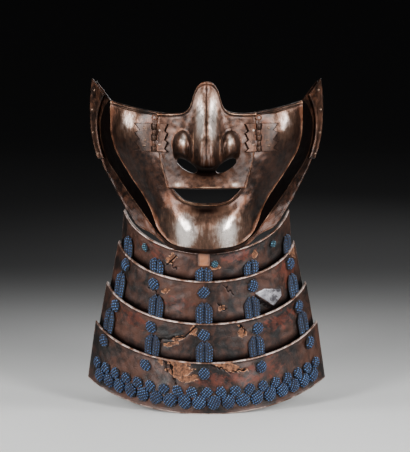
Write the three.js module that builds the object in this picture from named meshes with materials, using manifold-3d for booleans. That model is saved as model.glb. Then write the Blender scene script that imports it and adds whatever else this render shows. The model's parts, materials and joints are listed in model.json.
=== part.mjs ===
// Samurai face guard: an iron half mask with a hinged nose piece, and a laced throat guard of four lames.
// Millimetres, +Z up, the face looks along -Y, +X is the viewer's right.
// The origin is the middle of the mask's lower rim, where the wearer's chin sits.
import * as THREE from 'three'
import { mergeVertices } from 'three/addons/utils/BufferGeometryUtils.js'
import Module from 'manifold-3d'

const wasm = await Module()
wasm.setup()

// Driving dimensions: the mask
const maskHalfWidth = 82
const maskDepth = 65
const maskHeight = 117
const plateThickness = 1.5
const gap = 0.35
const lipRoll = 2.2
const lipRollReach = 0.07
const cheekDrift = 0.35
const bulgeSharpness = 1.25

// The nose piece laps over the mask's face opening and stands a little in front of it
const noseLength = 74.2
const noseThickness = 1.5
const noseOverlap = 3.4
const noseStandOff = 1.2
const noseRimY = 0.6
const noseLipY = -3.4
const noseSideBow = 2.6
const mouthRise = 1.9
const bridgeAtTop = 5.5
const bridgeAtTip = 25.5
const wingHeight = 10.5
const ridgeHeight = 0.6
const ridgeWidth = 1.1
const lipEdgeRoll = 1.6
const nostrilRadius = 3.1
const nostrilLength = 10
const nostrilDepth = 7
const nostrilTilt = 0.54

// Hinges of the nose piece
const leafThickness = 1.1
const leafHeight = 19
const leafDrop = 7.4
const noseLeafReach = 7
const cheekLeafReach = 12
const leafTeeth = 3
const leafNotch = 0.28
const webBoreReach = 1.05
const noseLeafInset = 0.9
const cheekLeafInset = 0.2
const webBite = 0.8
const barrelRadius = 1.6
const barrelClearance = 0.6
const pinRadius = 0.8
const pinClearance = 0.3
const knuckleGap = 0.4
const knuckleCount = 5
const pinEyeRadius = 1.7
const pinEyeWire = 0.55
const pinRise = 3.3
const rivetRadius = 1
// Rivets, by their shares up the leaf and out from the barrel
const noseRivets = [{ up: 0.24, out: 0.25 }, { up: 0.78, out: 0.25 }]
const cheekRivets = [{ up: 0.2, out: 0.45 }, { up: 0.4, out: 0.4 }, { up: 0.84, out: 0.45 }]

// Ear strips
const earStripRows = even(0, 4.5, 9)
const earStripSpan = [0.3, 1.1]
const earStripThickness = 1.5
const earRivetRows = [0.4, 1.7, 3, 4.2]
const earRivetPlace = 0.85
const earRivetRadius = 1.3

// Throat guard and its lacing
const guardHalfWidth = 85.5
const guardDepth = 50
const guardHeight = 113
const lameThickness = 1.6
const lameOverlap = 5
const lameClearance = 0.5
const braidWidth = 12.4
const braidHeight = 2.6
const knotRadius = 4.3
const knotHeight = 3.6
const knobRadius = 2.5
const tabWidth = 7.2
const tabThickness = 1.4
const tabRise = 1.5
const tabLength = 9.6
const tabShare = -0.03
const lameSweep = 1.25
// A braid's height: its share between the cords, at its start, and how steeply it rises from there
const braidForm = { valley: 0.3, cords: 0.7, start: 0.45, steepness: 2.5, swellEnds: 0.3 }
const hemKnotReach = 0.93
const hemKnotCount = 19
// The upper row of hem knots, and the lower one whose knots stand between those of the upper
const hemKnots = {
  upper: { radius: guardHalfWidth * 0.052, height: 3.2, fromHem: 15 },
  lower: { radius: guardHalfWidth * 0.0695, height: 4, fromHem: 8 },
}

// Right half of the mask plate, from the top rim round the jaw to the middle of the chin. Each row runs
// from the face opening over the cheek to the crease, back into the cord groove and out to the flange.
// Places are percent of the mask's half width, depth and height; bulge is percent of its depth.
const maskRows = [
  { opening: [38, 16, 84], bulge: 4.6,
    crease: [83, 55.4, 89.4], foot: [84.9, 63, 89.9], edge: [97.6, 94, 100] },
  { opening: [38, 15.8, 81], bulge: 7,
    crease: [83.3, 56, 84.6], foot: [89.6, 80, 85], edge: [99.4, 95.4, 90.6] },
  { opening: [38, 15.4, 75], bulge: 9.2,
    crease: [83.2, 57, 78.2], foot: [93, 87.7, 77.8], edge: [100, 99, 80.3] },
  { opening: [38, 14.6, 68.4], bulge: 10,
    crease: [82.7, 57, 69.2], foot: [93, 87.7, 68], edge: [99, 98.5, 68.8] },
  { opening: [37.4, 13.8, 61.5], bulge: 9.2,
    crease: [79, 54, 60.2], foot: [90.2, 84, 58.3], edge: [95.6, 94, 57.5] },
  { opening: [36.6, 11.5, 55], bulge: 7,
    crease: [72.4, 49, 52], foot: [85, 76, 50.7], edge: [91.2, 87, 49.8] },
  { opening: [35, 8.5, 49], bulge: 5,
    crease: [66.2, 44.6, 45.3], foot: [78.4, 67.7, 44], edge: [86.2, 79, 42.7] },
  { opening: [32.7, 6.2, 43.2], bulge: 4.3,
    crease: [59.8, 40, 39], foot: [72, 59, 37.8], edge: [81, 71.5, 36.2] },
  { opening: [29.5, 4.6, 38.6], bulge: 5.2,
    crease: [53.2, 34.6, 32.2], foot: [65, 50.8, 31.2], edge: [75, 63, 29] },
  { opening: [25, 2.2, 34.9], bulge: 7.7,
    crease: [48.3, 30, 25.6], foot: [57.8, 42.3, 24.8], edge: [68.5, 53, 22.2] },
  { opening: [19.5, 0, 31.9], bulge: 9.8,
    crease: [44.6, 24.8, 18.8], foot: [50, 32, 18], edge: [60, 41.5, 14.5] },
  { opening: [14, -1.2, 30.8], bulge: 8.6,
    crease: [39.8, 16, 12], foot: [41.8, 19, 11.3], edge: [46.8, 24.4, 10.6] },
  { opening: [9, -2, 30.3], bulge: 6,
    crease: [28.8, 3.6, 6], foot: [29.3, 4.9, 5.2], edge: [33, 9.8, 3.8] },
  { opening: [4.6, -2.3, 30.1], bulge: 4.4,
    crease: [14.6, -4.8, 4.1], foot: [14.8, -3.9, 3.2], edge: [17, 1.2, 0.9] },
  { opening: [0, -2.3, 30.1], bulge: 3.8,
    crease: [0, -7.4, 3.4], foot: [0, -6.5, 2.5], edge: [0, -0.9, 0] },
]

// Soft swellings and hollows of the plate: place and spread in percent of the mask's half width and
// height, and how far each stands forward in percent of its depth
const faceForms = [
  { name: 'cheekbone', x: 68, z: 75, spreadX: 12, spreadZ: 8.5, forward: 2.8 },
  { name: 'cheek hollow', x: 46, z: 51, spreadX: 11, spreadZ: 7.7, forward: -2.8 },
  { name: 'chin boss', x: 17, z: 13, spreadX: 12, spreadZ: 12, forward: 3.8 },
  { name: 'under the lip', x: 6, z: 26, spreadX: 10, spreadZ: 5, forward: -3.4 },
]

// Upper outline of the nose piece, right half, from the top of the bridge to the corner by the hinge,
// in percent of its half width and of its length
const noseOutline = [
  [0, 100], [10, 99], [18.3, 95.6], [23.5, 91], [27.3, 85], [31.4, 78.7], [37.8, 73.5], [49.4, 70.3],
  [70.6, 69.1], [87, 68.9], [100, 68.9],
]
// Shares of the nose piece's half width and length. Each pair in eases is where a change starts and ends.
const noseForm = {
  bridgeWidth: [0.335, 0.22],
  bridgeWidthEases: [0.26, 0.86],
  bridgeRiseEases: [0.026, 0.67],
  underside: [0.19, 0.31],
  undersideEases: [0.08, 0.62],
  undersideBelow: 0.05,
  undersideAbove: 0.045,
  keel: [2.6, 1.9],
  keelEases: [0.4, 0.6],
  ridgeStarts: [0.26, 0.36],
  ridgeEnds: [0.83, 0.94],
  wingBlend: 0.25,
  lipEdge: 0.058,
  rimCurveFrom: 0.57,
}
const wing = { x: 48, up: 40.5, spreadX: 20.5, spreadUp: 13.5, spreadDown: 23 }
const nostril = { x: 40, up: 21, forward: 8 }

// The throat guard: the top edge of each lame and the hem of the last, in percent of the guard's half
// width, depth and height, with the arc that each edge sweeps in degrees
const lameEdges = [
  { name: 'lame_1', halfWidth: 69.6, sweep: 76, z: -0.3, endZ: 22, y: 6, endY: 100 },
  { name: 'lame_2', halfWidth: 74.3, sweep: 80, z: -18, endZ: 2, y: 2, endY: 98 },
  { name: 'lame_3', halfWidth: 84.2, sweep: 76, z: -44.4, endZ: -24.3, y: -3, endY: 96 },
  { name: 'lame_4', halfWidth: 93.6, sweep: 70, z: -68.7, endZ: -49, y: -8, endY: 92 },
  { name: 'hem', halfWidth: 100, sweep: 56, z: -100, endZ: -84, y: -16, endY: 82 },
]

// Lacing columns: where each crosses lames 1 to 3 as a double braid, and lames 2 to 4 as a knot.
// The places are shares of the half width of the lame there; raise is how much higher the outer ones
// sit, as a share of the lame's height.
const lacingColumns = [
  { name: 'outer_left', braids: [-0.9, -0.9, -0.91], knots: [-0.88, -0.88, -0.9], raise: 0.06 },
  { name: 'inner_left', braids: [-0.57, -0.52, -0.5], knots: [-0.57, -0.53, -0.53] },
  { name: 'centre', braids: [-0.03, -0.025, -0.02], knots: [-0.03, -0.025, -0.02] },
  { name: 'inner_right', braids: [0.51, 0.47, 0.46], knots: [0.5, 0.49, 0.475] },
  { name: 'outer_right', braids: [0.93, 0.9, 0.9], knots: [0.91, 0.89, 0.905], raise: 0.02 },
]
// How far down its lame a braid starts and ends, and a knot sits, as shares of the lame's height
const braidSpans = [
  { start: 0.42, end: 0.775 },
  { start: 0.44, end: 0.845 },
  { start: 0.4, end: 0.82 },
]
const knotDepths = [0.21, 0.23, 0.2]
const topKnobs = [
  { name: 'knob_left', share: -0.72, depth: 0.27 },
  { name: 'knob_centre', share: 0.095, depth: 0.3 },
  { name: 'knob_right', share: 0.78, depth: 0.27 },
]

// Colours
const finishes = {
  iron: { color: 0x4a3428, roughness: 0.38, metalness: 0.85 },
  noseIron: { color: 0x8a7468, roughness: 0.36, metalness: 0.85 },
  hinge: { color: 0x5d4436, roughness: 0.42, metalness: 0.8 },
  lacquer: { color: 0x3a2420, roughness: 0.45, metalness: 0 },
  lace: { color: 0x1f3c6b, roughness: 0.85, metalness: 0 },
  knob: { color: 0x2a5f74, roughness: 0.8, metalness: 0 },
  leather: { color: 0xb98a5c, roughness: 0.7, metalness: 0 },
}

// Curves and surfaces
function mix(a, b, t) {
  return a + (b - a) * t
}
function even(from, to, count) {
  return Array.from({ length: count + 1 }, (_, i) => mix(from, to, i / count))
}
const bell = (d, spread) => Math.exp(-((d / spread) ** 2))
const { clamp, smoothstep, degToRad } = THREE.MathUtils

function spline(points) {
  const vectors = points.map((p) => new THREE.Vector3(...p))
  const curve = new THREE.CatmullRomCurve3(vectors, false, 'catmullrom', 0.5)
  return (row) => curve.getPoint(clamp(row / (points.length - 1), 0, 1))
}

const onMask = ([x, y, z]) => [x * maskHalfWidth / 100, y * maskDepth / 100, z * maskHeight / 100]
const rowLines = {
  opening: spline(maskRows.map((r) => onMask(r.opening))),
  crease: spline(maskRows.map((r) => onMask(r.crease))),
  foot: spline(maskRows.map((r) => onMask(r.foot))),
  edge: spline(maskRows.map((r) => onMask(r.edge))),
  bulge: spline(maskRows.map((r) => onMask([0, r.bulge, 0]))),
}
const chinRow = maskRows.length - 1
const mouthRow = 8
const sideOf = (row) => 1 - row / chinRow

function formForward(x, z) {
  const across = 100 * x / maskHalfWidth
  const up = 100 * z / maskHeight
  const lifts = faceForms.map((f) => f.forward * bell(across - f.x, f.spreadX) * bell(up - f.z, f.spreadZ))
  return lifts.reduce((a, b) => a + b) * maskDepth / 100
}

// side runs from -1 at the left ear through 0 at the chin to 1 at the right ear.
// v runs 0 to 1 over the cheek, 1 to 2 down the groove wall and 2 to 3 over the flange.
function maskPoint(side, v) {
  const row = chinRow * (1 - Math.abs(side))
  const crease = rowLines.crease(row)
  let p
  if (v <= 1) {
    p = rowLines.opening(row).lerp(crease, v)
    const swell = Math.sin(Math.PI * v)
    const cheek = clamp((mouthRow + 2 - row) / 4, 0, 1)
    const bulge = rowLines.bulge(row).y * swell ** bulgeSharpness
    p.x += cheekDrift * cheek * bulge
    p.y -= bulge + formForward(p.x, p.z) * swell
    const mouth = smoothstep(row, mouthRow - 0.5, mouthRow + 2)
    p.y -= mouth * lipRoll * Math.exp(-v / lipRollReach)
  } else if (v <= 2) {
    p = crease.lerp(rowLines.foot(row), v - 1)
  } else {
    p = rowLines.foot(row).lerp(rowLines.edge(row), v - 2)
  }
  if (side < 0) p.x = -p.x
  return p
}

// Where on the right cheek a given x and z lie, as side and v, found by steps from a place by the hinge
function cheekSpot(x, z) {
  const rowRise = 0.09 * maskHeight
  let side = sideOf(3)
  let v = 0.2
  for (let step = 0; step < 12; step++) {
    const p = maskPoint(side, v)
    v += (x - p.x) / (rowLines.crease(0).x - rowLines.opening(0).x)
    side += (z - p.z) / (chinRow * rowRise)
  }
  return { side, v }
}

// The nose piece takes its widths and its place from the mask's face opening
const rimCorner = rowLines.opening(0)
const mouthCorner = rowLines.opening(mouthRow)
const noseHalfWidth = rimCorner.x + noseOverlap
const lipHalfWidth = mouthCorner.x + noseOverlap
const lipHeight = mouthCorner.z + mouthRise
const curveToMeet = (corner, y) => (corner.y - noseThickness - noseStandOff - y) / corner.x ** 2
const rimCurve = curveToMeet(rimCorner, noseRimY)
const lipCurve = curveToMeet(mouthCorner, noseLipY)

const outlineCurve = spline(noseOutline.map(([x, up]) => [x / 100, 0, up / 100]))
const lastOutline = noseOutline.length - 1

// across runs -1 to 1 over the nose piece, up runs 0 at the lip to 1 at the top outline
function nosePlace(across, up) {
  const top = outlineCurve(Math.abs(across) * lastOutline)
  const x = top.x * mix(lipHalfWidth, noseHalfWidth, up) + noseSideBow * Math.sin(Math.PI * up) * top.x ** 4
  const z = lipHeight + noseLength * top.z * up
  return new THREE.Vector3(across < 0 ? -x : x, 0, z)
}

// Forward relief of the nose: bridge, tip, wings, ridge line and the lip's turned edge
function noseRelief(x, z) {
  const across = Math.abs(x) / noseHalfWidth
  const up = (z - lipHeight) / noseLength
  const form = noseForm
  const bridgeWidth = mix(...form.bridgeWidth, smoothstep(up, ...form.bridgeWidthEases))
  const bridgeRise = mix(bridgeAtTop, bridgeAtTip, smoothstep(1 - up, ...form.bridgeRiseEases))
  const underside = mix(...form.underside, smoothstep(across, ...form.undersideEases))
  const aboveUnderside = smoothstep(up, underside - form.undersideBelow, underside + form.undersideAbove)
  const keel = mix(...form.keel, smoothstep(up, ...form.keelEases))
  const bridge = bridgeRise * aboveUnderside * Math.exp(-((across / bridgeWidth) ** keel))
  const wingSpread = 100 * up > wing.up ? wing.spreadUp : wing.spreadDown
  const wingReach = Math.hypot((100 * across - wing.x) / wing.spreadX, (100 * up - wing.up) / wingSpread)
  const wingRise = wingHeight * Math.sqrt(Math.max(0, 1 - wingReach ** 2)) * aboveUnderside
  const ridgeShare = smoothstep(up, ...form.ridgeStarts) * (1 - smoothstep(up, ...form.ridgeEnds))
  const ridge = ridgeHeight * bell(x, ridgeWidth) * ridgeShare
  const lip = lipEdgeRoll * bell(up, form.lipEdge)
  return Math.max(bridge, wingRise) + form.wingBlend * Math.min(bridge, wingRise) + ridge + lip
}

function noseY(x, z) {
  const share = smoothstep(z, lipHeight, lipHeight + noseForm.rimCurveFrom * noseLength)
  return mix(noseLipY, noseRimY, share) + mix(lipCurve, rimCurve, share) * x ** 2 - noseRelief(x, z)
}

function nosePoint(across, up) {
  const p = nosePlace(across, up)
  p.y = noseY(p.x, p.z)
  return p
}

function edgePoint(edge, share, inset = 0, drop = 0) {
  const sweep = degToRad(edge.sweep)
  const turn = Math.asin(share * Math.sin(sweep))
  const back = (1 - Math.cos(turn)) / (1 - Math.cos(sweep))
  return new THREE.Vector3(
    (edge.halfWidth * guardHalfWidth / 100 - inset) * share,
    mix(edge.y, edge.endY, back) * guardDepth / 100 + inset,
    mix(edge.z, edge.endZ, back) * guardHeight / 100 - drop)
}

// share runs -1 to 1 along lame number index, down runs 0 at its top edge to 1 at its lower edge
function lamePoint(index, share, down) {
  const last = index === lameEdges.length - 2
  const inset = last ? 0 : lameThickness + lameClearance
  const low = edgePoint(lameEdges[index + 1], share, inset, last ? 0 : lameOverlap)
  return edgePoint(lameEdges[index], share).lerp(low, down)
}

function outwardNormal(surface, u, v, uRange, vRange) {
  const du = (uRange[1] - uRange[0]) * 1e-3
  const dv = (vRange[1] - vRange[0]) * 1e-3
  const low = (value, step, range) => Math.max(value - step, range[0])
  const high = (value, step, range) => Math.min(value + step, range[1])
  const alongU = surface(high(u, du, uRange), v).sub(surface(low(u, du, uRange), v))
  const alongV = surface(u, high(v, dv, vRange)).sub(surface(u, low(v, dv, vRange)))
  return alongU.cross(alongV).normalize()
}

// Solids
function closedMesh(points, faces) {
  const geometry = new THREE.BufferGeometry()
  const flat = points.flatMap((p) => [p.x, p.y, p.z])
  geometry.setAttribute('position', new THREE.Float32BufferAttribute(flat, 3))
  geometry.setIndex(faces.flat())
  return geometry
}

// A closed solid between two offsets of a surface; us and vs list the grid lines.
// facing is 1 where u cross v points out of the object and -1 where it points in.
function slab(surface, us, vs, inner, outer, facing) {
  const uRange = [us[0], us.at(-1)]
  const vRange = [vs[0], vs.at(-1)]
  const points = []
  for (const level of [outer, inner]) {
    for (const u of us) {
      for (const v of vs) {
        const normal = outwardNormal(surface, u, v, uRange, vRange).multiplyScalar(facing)
        points.push(surface(u, v).addScaledVector(normal, level(u, v)))
      }
    }
  }
  const nu = us.length
  const nv = vs.length
  const at = (side, i, j) => side * nu * nv + i * nv + j
  const faces = []
  const quad = (a, b, c, d) => faces.push([a, b, c], [a, c, d])
  for (let i = 0; i < nu - 1; i++) {
    for (let j = 0; j < nv - 1; j++) {
      quad(at(0, i, j), at(0, i + 1, j), at(0, i + 1, j + 1), at(0, i, j + 1))
      quad(at(1, i, j), at(1, i, j + 1), at(1, i + 1, j + 1), at(1, i + 1, j))
    }
  }
  for (let i = 0; i < nu - 1; i++) {
    quad(at(0, i, 0), at(1, i, 0), at(1, i + 1, 0), at(0, i + 1, 0))
    quad(at(0, i + 1, nv - 1), at(1, i + 1, nv - 1), at(1, i, nv - 1), at(0, i, nv - 1))
  }
  for (let j = 0; j < nv - 1; j++) {
    quad(at(0, 0, j + 1), at(1, 0, j + 1), at(1, 0, j), at(0, 0, j))
    quad(at(0, nu - 1, j), at(1, nu - 1, j), at(1, nu - 1, j + 1), at(0, nu - 1, j + 1))
  }
  if (facing < 0) faces.forEach((f) => f.reverse())
  return closedMesh(points, faces)
}

const constant = (value) => () => value

function toSolid(geometry) {
  const bare = geometry.clone()
  for (const name of Object.keys(bare.attributes)) if (name !== 'position') bare.deleteAttribute(name)
  const merged = mergeVertices(bare, 1e-4)
  return new wasm.Manifold(new wasm.Mesh({
    numProp: 3,
    vertProperties: new Float32Array(merged.attributes.position.array),
    triVerts: new Uint32Array(merged.index.array),
  }))
}

function toGeometry(solid) {
  const mesh = solid.getMesh()
  const geometry = new THREE.BufferGeometry()
  geometry.setAttribute('position', new THREE.BufferAttribute(new Float32Array(mesh.vertProperties), 3))
  geometry.setIndex(new THREE.BufferAttribute(new Uint32Array(mesh.triVerts), 1))
  return geometry
}

function joined(geometries) {
  return geometries.map(toSolid).reduce((a, b) => a.add(b))
}

const face = new THREE.Group()
function addPiece(name, geometry, finish, parent = face) {
  const mesh = new THREE.Mesh(geometry, new THREE.MeshStandardMaterial(finishes[finish]))
  mesh.name = name
  parent.add(mesh)
  return mesh
}

// Mask plate
function maskPlate() {
  const sides = []
  const rowStep = 0.5
  for (let row = 0; row <= chinRow; row += rowStep) sides.push(row / chinRow - 1)
  const mirroredSides = sides.slice(0, -1).map((s) => -s).reverse()
  const us = [...sides, ...mirroredSides]
  const vs = [0, 0.05, 0.14, ...even(0.3, 0.85, 3), 1, 1.5, 2, 3]
  return slab(maskPoint, us, vs, constant(-plateThickness), constant(0), -1)
}

// Nose piece, cut through at the nostrils
function nosePlate() {
  const half = [0, 0.05, 0.11, ...even(0.17, 1, 18)]
  const us = [...half.slice(1).map((a) => -a).reverse(), ...half]
  const vs = [...even(0, 0.12, 3), ...even(0.15, 0.57, 16), ...even(0.63, 1, 5)]
  let plate = toSolid(slab(nosePoint, us, vs, constant(-noseThickness), constant(0), 1))
  for (const side of [-1, 1]) {
    const cutter = new THREE.CapsuleGeometry(nostrilRadius, nostrilLength, 4, 10)
    cutter.rotateZ(Math.PI / 2)
    cutter.scale(1, nostrilDepth, 1)
    cutter.rotateY(-side * nostrilTilt)
    const z = lipHeight + nostril.up * noseLength / 100
    cutter.translate(side * nostril.x * noseHalfWidth / 100, -nostril.forward, z)
    plate = plate.subtract(toSolid(cutter))
  }
  return plate
}

// Hinges: each leaf follows its plate, has a zigzag end and carries its share of the knuckles
const leafTop = rimCorner.z - leafDrop
const leafBottom = leafTop - leafHeight
const hingeX = noseHalfWidth + barrelClearance + barrelRadius
const noseLeafNear = hingeX - barrelRadius - noseLeafInset
const cheekLeafNear = hingeX + barrelRadius - cheekLeafInset
const hingeY = noseY(noseLeafNear, (leafTop + leafBottom) / 2) - gap - leafThickness / 2
const knuckleHeight = (leafHeight - knuckleGap * (knuckleCount - 1)) / knuckleCount
const knuckleBottom = (index) => leafBottom + index * (knuckleHeight + knuckleGap)

function leafOutline(nearX, farX) {
  const outline = new THREE.Shape()
  const notch = leafNotch * (farX - nearX)
  outline.moveTo(nearX, leafBottom)
  for (let step = 0; step <= leafTeeth * 2; step++) {
    const x = step % 2 ? farX - notch : farX
    outline.lineTo(x, mix(leafBottom, leafTop, step / (leafTeeth * 2)))
  }
  outline.lineTo(nearX, leafTop)
  const depth = maskDepth
  const prism = new THREE.ExtrudeGeometry(outline, { depth, bevelEnabled: false })
  prism.rotateX(Math.PI / 2)
  return prism.translate(0, depth / 2, 0)
}

function uprightCylinder(radius, bottom, top, segments = 12) {
  const cylinder = new THREE.CylinderGeometry(radius, radius, top - bottom, segments)
  cylinder.rotateX(Math.PI / 2)
  return cylinder.translate(hingeX, hingeY, (top + bottom) / 2)
}

function rivetOn(surface, u, v, radius, lift, facing) {
  const normal = outwardNormal(surface, u, v, [u - 0.1, u + 0.1], [v - 0.1, v + 0.1]).multiplyScalar(facing)
  const place = surface(u, v).addScaledVector(normal, lift)
  return new THREE.SphereGeometry(radius, 7, 4).translate(place.x, place.y, place.z)
}

// A flat bar from the barrel to the middle of the leaf where it starts
function knuckleWeb(leafPoint, bottom) {
  const along = new THREE.Vector2(leafPoint.x - hingeX, leafPoint.y - hingeY)
  const reach = along.length() - webBoreReach * (pinRadius + pinClearance)
  const bar = new THREE.BoxGeometry(reach, leafThickness, knuckleHeight)
  bar.rotateZ(along.angle())
  const middle = along.clone().setLength(along.length() - reach / 2)
  return bar.translate(hingeX + middle.x, hingeY + middle.y, bottom + knuckleHeight / 2)
}

function hingeLeaf(sheet, nearX, farX, knuckles, leafPointAt, rivets) {
  let leaf = toSolid(sheet).intersect(toSolid(leafOutline(nearX, farX)))
  for (const index of knuckles) {
    const bottom = knuckleBottom(index)
    leaf = leaf.add(toSolid(uprightCylinder(barrelRadius, bottom, bottom + knuckleHeight)))
    leaf = leaf.add(toSolid(knuckleWeb(leafPointAt(bottom + knuckleHeight / 2), bottom)))
  }
  for (const rivet of rivets) leaf = leaf.add(toSolid(rivet))
  const bore = uprightCylinder(pinRadius + pinClearance, leafBottom - 1, leafTop + 1)
  return toGeometry(leaf.subtract(toSolid(bore)))
}

const leafMiddle = gap + leafThickness / 2
const leafFace = gap + leafThickness

function noseLeaf() {
  const surface = (x, z) => new THREE.Vector3(x, noseY(x, z), z)
  const farX = noseLeafNear - noseLeafReach
  const us = even(farX - 1, noseLeafNear + 0.5, 7)
  const vs = even(leafBottom - 1, leafTop + 1, 8)
  const sheet = slab(surface, us, vs, constant(gap), constant(leafFace), 1)
  const start = noseLeafNear - webBite
  const leafPointAt = (z) => new THREE.Vector3(start, noseY(start, z) - leafMiddle, z)
  const rivets = noseRivets.map(({ up, out }) => {
    const z = mix(leafBottom, leafTop, up)
    return rivetOn(surface, noseLeafNear - out * noseLeafReach, z, rivetRadius, leafFace, 1)
  })
  return hingeLeaf(sheet, noseLeafNear, farX, [1, 3], leafPointAt, rivets)
}

function cheekLeaf() {
  const farX = cheekLeafNear + cheekLeafReach
  const low = cheekSpot(cheekLeafNear, leafBottom - 2)
  const high = cheekSpot(farX + 1, leafTop + 2)
  const us = even(low.side, high.side, 5)
  const vs = even(low.v - 0.06, high.v + 0.04, 4)
  const sheet = slab(maskPoint, us, vs, constant(gap), constant(leafFace), -1)
  const leafPointAt = (z) => {
    const spot = cheekSpot(cheekLeafNear + webBite, z)
    return maskPoint(spot.side, spot.v).add(new THREE.Vector3(-0.3, -leafMiddle, 0))
  }
  const rivets = cheekRivets.map(({ up, out }) => {
    const spot = cheekSpot(mix(cheekLeafNear, farX, out), mix(leafBottom, leafTop, up))
    return rivetOn(maskPoint, spot.side, spot.v, rivetRadius, leafFace, -1)
  })
  return hingeLeaf(sheet, cheekLeafNear, farX, [0, 2, 4], leafPointAt, rivets)
}

const pinTop = leafTop + pinRise
function hingePin() {
  const shaft = uprightCylinder(pinRadius, leafBottom - gap, pinTop, 10)
  const eye = new THREE.TorusGeometry(pinEyeRadius, pinEyeWire, 6, 14)
  eye.rotateX(Math.PI / 2)
  eye.translate(hingeX, hingeY, pinTop + pinEyeRadius - 0.2)
  return toGeometry(joined([shaft, eye]))
}

function mirroredX(geometry) {
  const copy = geometry.clone().scale(-1, 1, 1)
  const index = copy.index.array
  for (let i = 0; i < index.length; i += 3) [index[i + 1], index[i + 2]] = [index[i + 2], index[i + 1]]
  return copy
}

// Ear strips, riveted along the outside of the flange
function earStrip(hand) {
  const us = earStripRows.map((row) => hand * sideOf(row)).sort((a, b) => a - b)
  const surface = (side, w) => maskPoint(side, 2 + w)
  const sheet = slab(surface, us, earStripSpan, constant(gap), constant(gap + earStripThickness), -1)
  const rivets = earRivetRows.map((row) => {
    return rivetOn(surface, hand * sideOf(row), earRivetPlace, earRivetRadius, gap + earStripThickness, -1)
  })
  return toGeometry(joined([sheet, ...rivets]))
}

// Throat guard
const lameSweepShares = even(-1, 1, 18).map((s) => Math.sin(lameSweep * s) / Math.sin(lameSweep))

function onLame(index) {
  return (share, down) => lamePoint(index, share, down)
}

function lameFrame(index, share, down) {
  const surface = onLame(index)
  const normal = outwardNormal(surface, share, down, [-1, 1], [-0.1, 1]).negate()
  const acrossMm = surface(share + 0.005, down).distanceTo(surface(share - 0.005, down)) / 0.01
  const downMm = surface(share, down + 0.005).distanceTo(surface(share, down - 0.005)) / 0.01
  return { point: surface(share, down), normal, acrossMm, downMm }
}

function lame(index) {
  return slab(onLame(index), lameSweepShares, [0, 1], constant(-lameThickness), constant(0), -1)
}

// Two cords side by side, rounded over at the upper end
function braid(index, share, span) {
  const half = braidWidth / 2 / lameFrame(index, share, (span.start + span.end) / 2).acrossMm
  const us = even(share - half, share + half, 6)
  const vs = [span.start, mix(span.start, span.end, braidForm.swellEnds), span.end]
  const height = (u, v) => {
    const cords = Math.abs(Math.sin((Math.PI * (u - share)) / half)) ** 0.7
    const along = (v - span.start) / (span.end - span.start)
    const swell = Math.min(1, braidForm.start + braidForm.steepness * along)
    return gap + braidHeight * (braidForm.valley + braidForm.cords * cords * swell)
  }
  return slab(onLame(index), us, vs, constant(gap), height, -1)
}

function domeOnLame(index, share, down, radius, height, segments = 8) {
  const profile = [[0, 0], [1, 0], [0.9, 0.5], [0.55, 0.88], [0, 1]]
  const points = profile.map(([r, h]) => new THREE.Vector2(r * radius, h * height))
  const dome = new THREE.LatheGeometry(points, segments)
  const { point, normal } = lameFrame(index, share, down)
  dome.applyQuaternion(new THREE.Quaternion().setFromUnitVectors(new THREE.Vector3(0, 1, 0), normal))
  const base = point.addScaledVector(normal, gap)
  return dome.translate(base.x, base.y, base.z)
}

// Shares that stand at even distances round the lame
function evenShares(index, down, count, reach) {
  const fine = even(-reach, reach, 200)
  const surface = onLame(index)
  const lengths = [0]
  for (let i = 1; i < fine.length; i++) {
    lengths.push(lengths[i - 1] + surface(fine[i], down).distanceTo(surface(fine[i - 1], down)))
  }
  return even(0, lengths.at(-1), count - 1).map((target) => {
    const next = Math.max(1, lengths.findIndex((length) => length >= target - 1e-9))
    const part = (target - lengths[next - 1]) / (lengths[next] - lengths[next - 1])
    return mix(fine[next - 1], fine[next], part)
  })
}

function hemKnotRows() {
  const last = lameEdges.length - 2
  const fromHem = (share, distance) => 1 - distance / lameFrame(last, share, 0.7).downMm
  const upper = evenShares(last, fromHem(0, hemKnots.upper.fromHem), hemKnotCount, hemKnotReach)
  const lower = upper.slice(1).map((share, i) => (share + upper[i]) / 2)
  const row = (shares, knot) => shares.map((share) => {
    return domeOnLame(last, share, fromHem(share, knot.fromHem), knot.radius, knot.height)
  })
  return toGeometry(joined([...row(upper, hemKnots.upper), ...row(lower, hemKnots.lower)]))
}

function chinTab() {
  const { acrossMm, downMm } = lameFrame(0, tabShare, 0.2)
  const half = tabWidth / 2 / acrossMm
  const us = [tabShare - half, tabShare, tabShare + half]
  const vs = [-tabRise / downMm, (tabLength - tabRise) / downMm]
  return slab(onLame(0), us, vs, constant(gap), constant(gap + tabThickness), -1)
}

// Assembly
addPiece('mask_plate', maskPlate(), 'iron')
addPiece('nose_plate', toGeometry(nosePlate()), 'noseIron')
for (const [side, hand, place] of [['left', -1, mirroredX], ['right', 1, (geometry) => geometry]]) {
  addPiece(`cheek_leaf_${side}`, place(cheekLeaf()), 'hinge')
  addPiece(`nose_leaf_${side}`, place(noseLeaf()), 'noseIron')
  addPiece(`hinge_pin_${side}`, place(hingePin()), 'iron')
  addPiece(`ear_strip_${side}`, earStrip(hand), 'iron')
}
for (let index = 0; index < lameEdges.length - 1; index++) {
  addPiece(lameEdges[index].name, lame(index), 'lacquer')
}
addPiece('chin_tab', chinTab(), 'leather')
for (const knob of topKnobs) {
  addPiece(knob.name, domeOnLame(0, knob.share, knob.depth, knobRadius, knobRadius), 'knob')
}
for (const column of lacingColumns) {
  const raise = column.raise ?? 0
  braidSpans.forEach(({ start, end }, index) => {
    const span = { start: start - raise, end }
    addPiece(`braid_${index + 1}_${column.name}`, braid(index, column.braids[index], span), 'lace')
    const depth = knotDepths[index] - raise
    const knot = domeOnLame(index + 1, column.knots[index], depth, knotRadius, knotHeight)
    addPiece(`knot_${index + 2}_${column.name}`, knot, 'lace')
  })
}
addPiece('hem_knots', hemKnotRows(), 'lace')

export default face
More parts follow.
